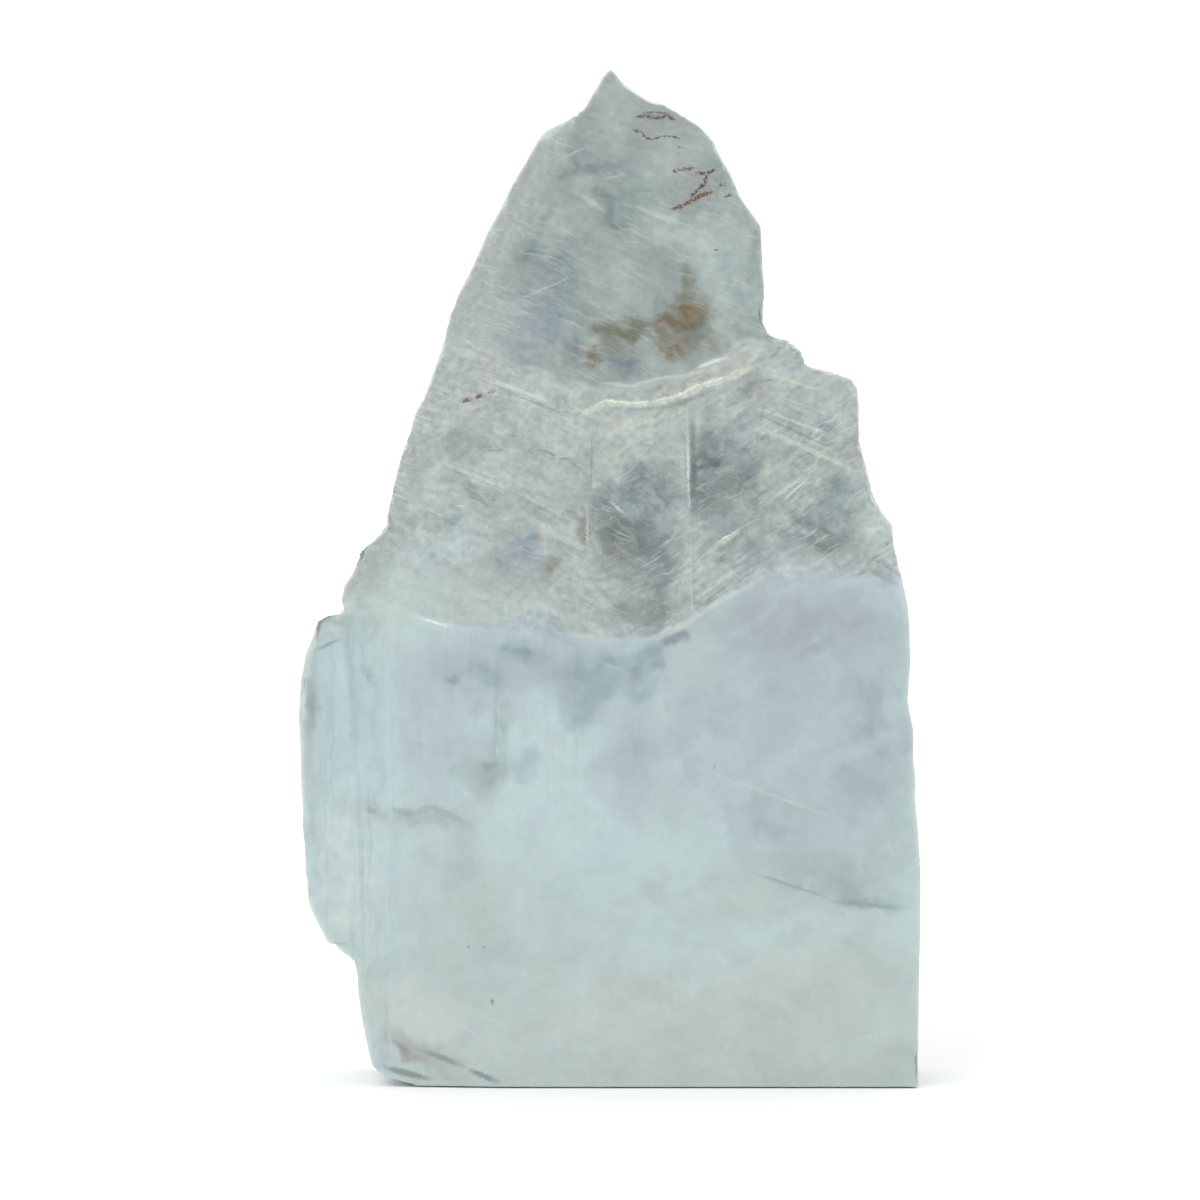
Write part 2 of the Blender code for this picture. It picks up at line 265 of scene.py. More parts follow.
@dataclass(frozen=True)
class CalmFace:
    """Presses the steps of a broad face flatter, towards its own local level.

    facing is the sign of y on the face, and keep the share of each step that stays. The level is read on
    a grid of square cells and blurred over the spread. Heights within fade ease into what is left alone.
    """

    facing: float
    keep: float
    spread: float = 6.0
    cell: float = 1.5
    blur_cells: int = 12
    fade: tuple[float, float] = (166.0, 172.0)
    far_below: tuple[float, float] = (5.0, 10.0)
    facing_from: float = 0.6

    def spread_out(self, grid: Array) -> Array:
        """The grid, blurred over the spread.

        Args:
            grid: One number for each cell.

        Returns:
            The blurred numbers.
        """
        reach = np.arange(-self.blur_cells, self.blur_cells + 1) * self.cell / self.spread
        weights = np.exp(-0.5 * reach * reach)
        for axis in (0, 1):
            grid = np.apply_along_axis(np.convolve, axis, grid, weights, "same")
        return grid

    def level(self, points: Array, normals: Array) -> Array:
        """How far out the face lies on average round each place.

        Args:
            points: One row of three coordinates for each vertex, in millimetres.
            normals: The way each vertex faces.

        Returns:
            One distance from the middle of the slab for each vertex.
        """
        cells = (points[:, (0, 2)] - points[:, (0, 2)].min(axis=0)) / self.cell
        shape = tuple(np.ceil(cells.max(axis=0)).astype(int) + 2)
        counted = normals[:, 1] * self.facing > self.facing_from
        flat = np.ravel_multi_index(tuple(np.rint(cells[counted]).astype(int).T), shape)
        size = shape[0] * shape[1]
        sums = np.bincount(flat, self.facing * points[counted, 1], size).reshape(shape)
        counts = np.bincount(flat, minlength=size).reshape(shape).astype(float)
        levels = self.spread_out(sums) / np.maximum(self.spread_out(counts), 1e-6)
        corner = np.floor(cells).astype(int)
        part = cells - corner
        total = np.zeros(len(points))
        for across, up in np.ndindex(2, 2):
            weight = np.abs(1 - across - part[:, 0]) * np.abs(1 - up - part[:, 1])
            total += weight * levels[corner[:, 0] + across, corner[:, 1] + up]
        return total

    def pressed(self, points: Array, normals: Array) -> Array:
        """The vertices with this face's steps pressed flatter.

        Args:
            points: One row of three coordinates for each vertex, in millimetres.
            normals: The way each vertex faces.

        Returns:
            The moved vertices.
        """
        level = self.level(points, normals)
        offset = self.facing * points[:, 1] - level
        share = (1.0 - eased(-offset, *self.far_below)) * (1.0 - eased(points[:, 2], *self.fade))
        moved = points.copy()
        moved[:, 1] = self.facing * (level + offset * (1.0 - (1.0 - self.keep) * share))
        return moved


@dataclass(frozen=True)
class FrontRelief:
    """The torn and worn surface of the show face, as depths below the plain solid.

    flake_rise is one step of the noise that makes flakes, and flake_share the depth that one unit of it
    cuts. Each grain is a kind of mark, with its length and width. flank_calm and haze_calm are the shares
    of the depth that those zones lose. flank_line is where the slope down the tip's left ends, as (z, x).
    """

    flake_rise: float = 0.34
    flake_share: float = 0.3
    sliver_depth: float = 0.13
    swell: float = 0.1
    groove_depth: float = 0.016
    frost_depth: float = 0.05
    column_right: float = -37.5
    flank_calm: float = 0.6
    haze_calm: float = 0.4
    falling_flakes: Grain = Grain(Lean.FALLING, 21.0, 5.0)
    rising_flakes: Grain = Grain(Lean.RISING, 15.0, 3.6)
    slivers: Grain = Grain(Lean.RISING, 6.5, 0.9)
    shreds: Grain = Grain(Lean.FALLING, 7.5, 0.8)
    dust: Grain = Grain(Lean.RISING, 2.6, 0.7)
    tip_steps: Grain = Grain(Lean.FALLING, 17.0, 4.0)
    tip_fibres: Grain = Grain(Lean.FALLING, 5.0, 0.8)
    grooves: Grain = Grain(Lean.UPRIGHT, 70.0, 0.9)
    broad_grooves: Grain = Grain(Lean.UPRIGHT, 90.0, 3.2)
    base_fibres: Grain = Grain(Lean.FALLING, 9.0, 1.4)
    band_crumbs: Grain = Grain(Lean.RISING, 3.4, 1.3)
    band_steps: Grain = Grain(Lean.RISING, 12.0, 2.2)
    flank_sheets: Grain = Grain(Lean.LEFT_FLANK, 22.0, 1.5, 2.5)
    flank_line: tuple[tuple[float, float], ...] = (
        (70.0, -46.0), (98.0, -38.9), (110.0, -32.0), (118.0, -28.6), (133.0, -23.0), (150.0, -17.3),
        (162.0, -10.7), (168.0, -7.6),
    )
    ledges: tuple[Ledge, ...] = (
        Ledge((13.8, 120.4), (14.2, 84.0), 0.14, 2.6),
        Ledge((-3.6, 117.5), (-3.6, 95.2), 0.12, -2.2),
        Ledge((-30.6, 110.9), (-17.6, 105.4), 0.16, -3.4),
        Ledge((-17.6, 105.4), (-3.8, 98.6), 0.14, -3.0),
        Ledge((-30.0, 126.0), (-6.8, 119.2), 0.14, 2.4),
        Ledge((24.0, 124.4), (44.2, 114.6), 0.14, -2.2),
        Ledge((24.0, 121.6), (44.6, 111.9), 0.12, -2.0),
        Ledge((23.2, 117.2), (44.6, 108.4), 0.16, -2.6),
        Ledge((14.7, 86.7), (26.6, 103.4), 0.16, -2.4),
        Ledge((16.0, 84.5), (26.6, 92.2), 0.16, -2.0),
        Ledge((29.8, 97.0), (36.6, 104.2), 0.2, -3.6),
        Ledge((46.0, 93.6), (51.4, 90.2), 0.2, 1.4),
        Ledge((45.0, 91.6), (51.6, 88.0), 0.16, 1.2),
    )

    def zones(self, points: Array) -> dict[Zone, Array]:
        """How far each place belongs to each zone of the show face, from 0 to 1.

        Args:
            points: One row of three coordinates for each place.

        Returns:
            For each zone, one number for each place.
        """
        jag = lattice_noise(points / (5.0, 9.0, 5.0), 2) + 0.5 * lattice_noise(points / (1.7, 9.0, 1.7), 4)
        over_base = BASE_SHEET_TOP.above(points) + 0.35 * jag
        over_ridge = LOWER_RIDGE.above(points) + 0.9 * jag
        over_tip = UPPER_RIDGE.above(points) - 1.6 * jag
        zs, xs = zip(*self.flank_line)
        flank = 1.0 - eased(points[:, 0] - np.interp(points[:, 2], zs, xs) + 0.8 * jag, -1.6, 1.4)
        low = 1.0 - eased(over_base, -0.6, 0.4)
        middle = eased(over_base, 0.0, 1.6) * (1.0 - eased(over_ridge, -0.4, 0.2))
        lower_left = (1.0 - eased(points[:, 0], -26.0, -8.0)) * (1.0 - eased(points[:, 2], 88.0, 98.0))
        return {
            Zone.MIDDLE: middle,
            Zone.HAZE: middle * lower_left,
            Zone.BAND: eased(over_ridge, -0.2, 0.3) * (1.0 - eased(over_tip, -1.0, 1.0)),
            Zone.TIP: eased(over_tip, -0.6, 1.6),
            Zone.LOW: low,
            Zone.FLANK: flank * eased(points[:, 2], 84.0, 90.0),
            Zone.COLUMN: low * self.in_column(points),
        }

    def in_column(self, points: Array) -> Array:
        """How far each place is in the grooved column at the left."""
        return 1.0 - eased(points[:, 0], self.column_right - 1.0, self.column_right + 1.0)

    def depth(self, points: Array) -> Array:
        """How much of the crystal is gone at each place of the show face.

        Args:
            points: One row of three coordinates for each place.

        Returns:
            Depths in millimetres.
        """
        zones = self.zones(points)
        calm = (1.0 - self.flank_calm * zones[Zone.FLANK]) * (1.0 - self.haze_calm * zones[Zone.HAZE])
        depth = self.middle_depth(points) * zones[Zone.MIDDLE] * calm
        depth += self.tip_depth(points) * zones[Zone.TIP] * (1.0 - zones[Zone.FLANK])
        depth += self.base_depth(points) * zones[Zone.LOW]
        depth += self.band_depth(points) * zones[Zone.BAND]
        depth += self.flank_depth(points) * zones[Zone.FLANK]
        for ledge in self.ledges:
            depth += ledge.depth(points)
        return depth

    def middle_depth(self, points: Array) -> Array:
        """The flaky middle: falling flakes on the left, rising feathers on the right.

        Args:
            points: One row of three coordinates for each place.

        Returns:
            Depths in millimetres.
        """
        rightness = eased(points[:, 0], -8.0, 18.0)
        wander = 2.6 * lattice_noise(points / 11.0, 3)[:, None]
        torn = points + wander
        falling = self.falling_flakes.marks(torn, 11)
        rising = self.rising_flakes.marks(torn, 12)
        mixed = (0.7 - 0.3 * rightness) * falling + (0.35 + 0.45 * rightness) * rising
        flakes = terraced(mixed, self.flake_rise)
        slivers = eased(self.slivers.marks(torn, 13), 0.12, 0.34)
        shreds = eased(self.shreds.marks(torn, 14), 0.18, 0.4)
        patch = eased(lattice_noise(points / 13.0, 15), -0.25, 0.35)
        depth = self.flake_share * (0.45 - flakes)
        depth += self.sliver_depth * slivers * (0.35 + 0.65 * rightness) * patch
        depth += 0.7 * self.sliver_depth * shreds * (1.0 - 0.7 * rightness) * (1.0 - 0.6 * patch)
        return depth + 0.03 * self.dust.marks(points, 16)

    def tip_depth(self, points: Array) -> Array:
        """The smoother tip, with shallow shells and a few low falling steps.

        Args:
            points: One row of three coordinates for each place.

        Returns:
            Depths in millimetres.
        """
        wander = 2.0 * lattice_noise(points / 14.0, 23)[:, None]
        shells = terraced(lattice_noise((points + wander) / (13.0, 9.0, 11.0), 21), 0.38, 0.3)
        falling = terraced(self.tip_steps.marks(points + wander, 22), 0.5, 0.3)
        fibres = self.tip_fibres.marks(points, 24)
        return 0.1 - 0.08 * shells - 0.07 * falling + 0.02 * fibres

    def base_depth(self, points: Array) -> Array:
        """The smooth base sheet: low swells, faint fibres and the grooved column on its left.

        Args:
            points: One row of three coordinates for each place.

        Returns:
            Depths in millimetres.
        """
        column = self.in_column(points)
        grooves = self.grooves.marks(points, 31)
        broad = self.broad_grooves.marks(points, 32)
        depth = self.swell * (0.5 + lattice_noise(points / (26.0, 20.0, 26.0), 33))
        depth += (0.004 + self.groove_depth * column) * grooves + 0.5 * self.groove_depth * column * broad
        fibres = self.base_fibres.marks(points, 34)
        return depth + 0.008 * fibres

    def band_depth(self, points: Array) -> Array:
        """The crumbly band between the two ridges.

        Args:
            points: One row of three coordinates for each place.

        Returns:
            Depths in millimetres.
        """
        crumbs = self.band_crumbs.marks(points, 41)
        steps = terraced(self.band_steps.marks(points, 42), 0.4)
        return 0.1 + 0.16 * np.abs(crumbs) + 0.1 * steps

    def flank_depth(self, points: Array) -> Array:
        """The frosted slope down the left of the tip.

        Args:
            points: One row of three coordinates for each place.

        Returns:
            Depths in millimetres.
        """
        laminae = terraced(self.flank_sheets.marks(points, 51), 0.4, 0.2)
        frost = lattice_noise(points / 1.3, 52) + 0.6 * lattice_noise(points / 0.6, 53)
        return 0.1 + 0.1 * laminae + self.frost_depth * frost


@dataclass(frozen=True)
class BackRelief:
    """The hidden face, broken in the same three directions."""

    flake_rise: float = 0.3
    falling_flakes: Grain = Grain(Lean.FALLING, 24.0, 5.5)
    rising_flakes: Grain = Grain(Lean.RISING, 17.0, 4.2)
    slivers: Grain = Grain(Lean.RISING, 7.0, 1.3)
    fibres: Grain = Grain(Lean.UPRIGHT, 60.0, 1.1)
    steps: Grain = Grain(Lean.RISING, 40.0, 13.0)

    def depth(self, points: Array) -> Array:
        """How much of the crystal is gone at each place of the hidden face.

        Args:
            points: One row of three coordinates for each place.

        Returns:
            Depths in millimetres.
        """
        upper = eased(points[:, 2] + 0.35 * points[:, 0], 84.0, 96.0)
        wander = 3.0 * lattice_noise(points / 12.0, 61)[:, None]
        torn = points + wander
        falling = self.falling_flakes.marks(torn, 62)
        rising = self.rising_flakes.marks(torn, 63)
        flakes = terraced(0.5 * falling + 0.6 * rising, self.flake_rise)
        slivers = eased(self.slivers.marks(torn, 64), 0.2, 0.42)
        fibres = self.fibres.marks(points, 66)
        smooth = 0.1 * (0.5 + lattice_noise(points / 24.0, 65)) + 0.02 * fibres
        steps = terraced(self.steps.marks(points, 67), 0.45, 0.04)
        return upper * (0.2 - 0.4 * flakes + 0.14 * slivers) + (1.0 - upper) * (smooth + 0.2 * steps)


@dataclass(frozen=True)
class Sag:
    """Brings a stretch of the slab's upper edge down a little, with what lies close below it.

    edge is the stretch, from left to right as corners (x, z), and drop how far down it goes, in full
    from full_below the edge upwards. It takes what lies within reach below it along, less and less, and
    begins and ends over ease.
    """

    edge: tuple[Place, ...]
    drop: float
    reach: float = 9.0
    ease: float = 1.5
    full_below: float = 1.0

    def lowered(self, points: Array) -> Array:
        """The vertices, with those near this stretch of edge brought down.

        Args:
            points: One row of three coordinates for each vertex, in millimetres.

        Returns:
            The moved vertices.
        """
        xs, zs = zip(*self.edge)
        begun = eased(points[:, 0], xs[0], xs[0] + self.ease)
        ended = eased(points[:, 0], xs[-1] - self.ease, xs[-1])
        across = begun * (1.0 - ended)
        near = eased(points[:, 2] - np.interp(points[:, 0], xs, zs), -self.reach, -self.full_below)
        moved = points.copy()
        moved[:, 2] -= self.drop * across * near
        return moved


@dataclass(frozen=True)
class RimRelief:
    """The edges of the sheets, worn and chipped unevenly all round the slab.

    The rim is nibbled more and more over the heights nibbled_from, and calmer over those of kept_tip.
    """

    sheet: float = 1.15
    wear: float = 0.32
    nibble: float = 0.42
    nibbled_from: tuple[float, float] = (82.0, 92.0)
    kept_tip: tuple[float, float] = (163.0, 175.0)
    column_wear: float = 0.6

    def depth(self, points: Array) -> Array:
        """How far the rim is worn back.

        Args:
            points: One row of three coordinates for each place.

        Returns:
            Depths in millimetres.
        """
        stack = points / (8.0, self.sheet, 8.0)
        sheets = terraced(0.5 + 0.5 * lattice_noise(stack, 71), 0.25, 0.3)
        fine = lattice_noise(points / (5.0, 0.55, 5.0), 72)
        chips = eased(lattice_noise(points / (3.4, 1.9, 3.4), 73), 0.25, 0.6)
        nicks = lattice_noise(points / (2.4, 40.0, 2.4), 74)
        nicks += 0.6 * lattice_noise(points / (1.1, 40.0, 1.1), 75)
        bitten = self.nibble * eased(points[:, 2], *self.nibbled_from) * eased(nicks, -0.4, 0.7)
        column = eased(points[:, 2], 60.0, 68.0) * (1.0 - eased(points[:, 2], 80.0, 86.0))
        column *= self.column_wear * (1.0 - eased(points[:, 0], -51.0, -47.0))
        worn = self.wear * sheets + 0.12 * (1.0 + fine) + 0.35 * chips + bitten + column
        return worn * (1.0 - 0.75 * eased(points[:, 2], *self.kept_tip))


class Tint(Enum):
    """The colours of cloudy selenite, as they look on a screen in plain white light."""

    FROST = (186, 199, 196)
    HAZE = (182, 191, 187)
    CHALK = (192, 200, 196)
    LAVENDER = (178, 190, 195)
    VIOLET = (166, 174, 180)
    PALE_BLUE = (186, 203, 207)
    MILK = (194, 208, 209)
    TIP = (160, 169, 167)
    TORN = (179, 186, 184)
    # Cream is the crystal's own colour, and along ledges and ridges it also stands for painted highlights.
    CREAM = (203, 208, 198)
    # This white is painted light: glints and light caught on edges, not a colour of the crystal.
    GLEAM = (226, 231, 224)
    DRY_GREEN = (161, 168, 167)
    ROSE_GREY = (164, 166, 163)
    BROWN_GREY = (150, 147, 140)
    SEA_GREY = (144, 159, 157)
    BLUE_GREY = (143, 160, 168)
    SLATE = (134, 145, 149)
    DEEP_SLATE = (116, 125, 127)
    PLUM = (134, 138, 138)
    OLIVE = (127, 128, 114)
    UMBER = (118, 106, 86)
    OCHRE = (134, 115, 88)
    RUST = (125, 107, 87)
    DARK_RUST = (112, 98, 85)

    @property
    def base(self) -> Colour:
        """The base colour that looks like this once the crystal's own shine lies over it."""
        levels = screen_colour(*self.value)[:3]
        return (*(max((level - SHINE) / BODY_SHARE, DARKEST) for level in levels), 1.0)


# The tints of rust, whose marks break up into crumbs.
CRUMBLING = (Tint.RUST, Tint.DARK_RUST, Tint.OCHRE)


def laid(under: Array, tint: Tint, share: Array | float) -> Array:
    """The colours with this share of a tint laid over them."""
    return under + np.reshape(share, (-1, 1)) * (np.array(tint.base[:3]) - under)


@dataclass(frozen=True)
class Veil:
    """A soft cloud, seam or fleck inside the crystal, as a drawn-out ellipse in the broad face.

    at is its middle (x, z), half its half length and half width, and lean its turn up from +X in
    degrees. It is strongest at depth y, and fades over through. core is the share of it that is even.
    """

    tint: Tint
    at: Place
    half: tuple[float, float]
    lean: float
    strength: float
    core: float = 0.1
    y: float = -13.0
    through: float = 34.0

    def share(self, places: Array) -> Array:
        """How much of the tint shows at each place."""
        return self.strength * eased(self.reach(places), 1.0, self.core)

    def rises_into(self, bottom: float, top: float, margin: float) -> bool:
        """Whether any of the veil is between two heights.

        Args:
            bottom: The lower height.
            top: The upper height.
            margin: How much wider the veil is taken on every side.

        Returns:
            Whether they meet.
        """
        turn = math.radians(self.lean)
        rise = math.hypot(self.half[0] * math.sin(turn), self.half[1] * math.cos(turn)) + margin
        return self.at[1] + rise > bottom and self.at[1] - rise < top

    def reach(self, places: Array, margin: float = 0.0) -> Array:
        """How far out in the veil each place lies, with 1 at its edge.

        Args:
            places: One row of three coordinates for each place.
            margin: How much wider the veil is taken on every side.

        Returns:
            One number for each place.
        """
        turn = math.radians(self.lean)
        across, up = places[:, 0] - self.at[0], places[:, 2] - self.at[1]
        first = (across * math.cos(turn) + up * math.sin(turn)) / (self.half[0] + margin)
        second = (up * math.cos(turn) - across * math.sin(turn)) / (self.half[1] + margin)
        deep = (places[:, 1] - self.y) / (self.through + margin)
        return np.sqrt(first**2 + second**2 + deep**2)


def seam(tint: Tint, start: Place, end: Place, width: float, strength: float,
         core: float = 0.3, stretch: float = 0.56) -> Veil:
    """A thin veil from one place to another.

    Args:
        tint: Its colour.
        start: Where it starts, as (x, z).
        end: Where it ends.
        width: Its half width.
        strength: How much of the tint shows.
        core: The share of it that is even.
        stretch: Its half length, as a share of the way from start to end.

    Returns:
        The veil.
    """
    run = (end[0] - start[0], end[1] - start[1])
    middle = ((start[0] + end[0]) / 2, (start[1] + end[1]) / 2)
    half = (stretch * math.hypot(*run), width)
    return Veil(tint, middle, half, math.degrees(math.atan2(run[1], run[0])), strength, core)


def chain(tint: Tint, width: float, strength: float, *places: Place) -> list[Veil]:
    """A bent seam through these places."""
    return [seam(tint, *ends, width, strength, 0.5, 0.8) for ends in zip(places, places[1:])]


def cloud_rows(*rows: tuple) -> list[Veil]:
    """Veils from rows of tint, middle x and z, half length, half width, lean, strength and core, if given."""
    return [Veil(tint, (x, z), (along, across), *rest) for tint, x, z, along, across, *rest in rows]


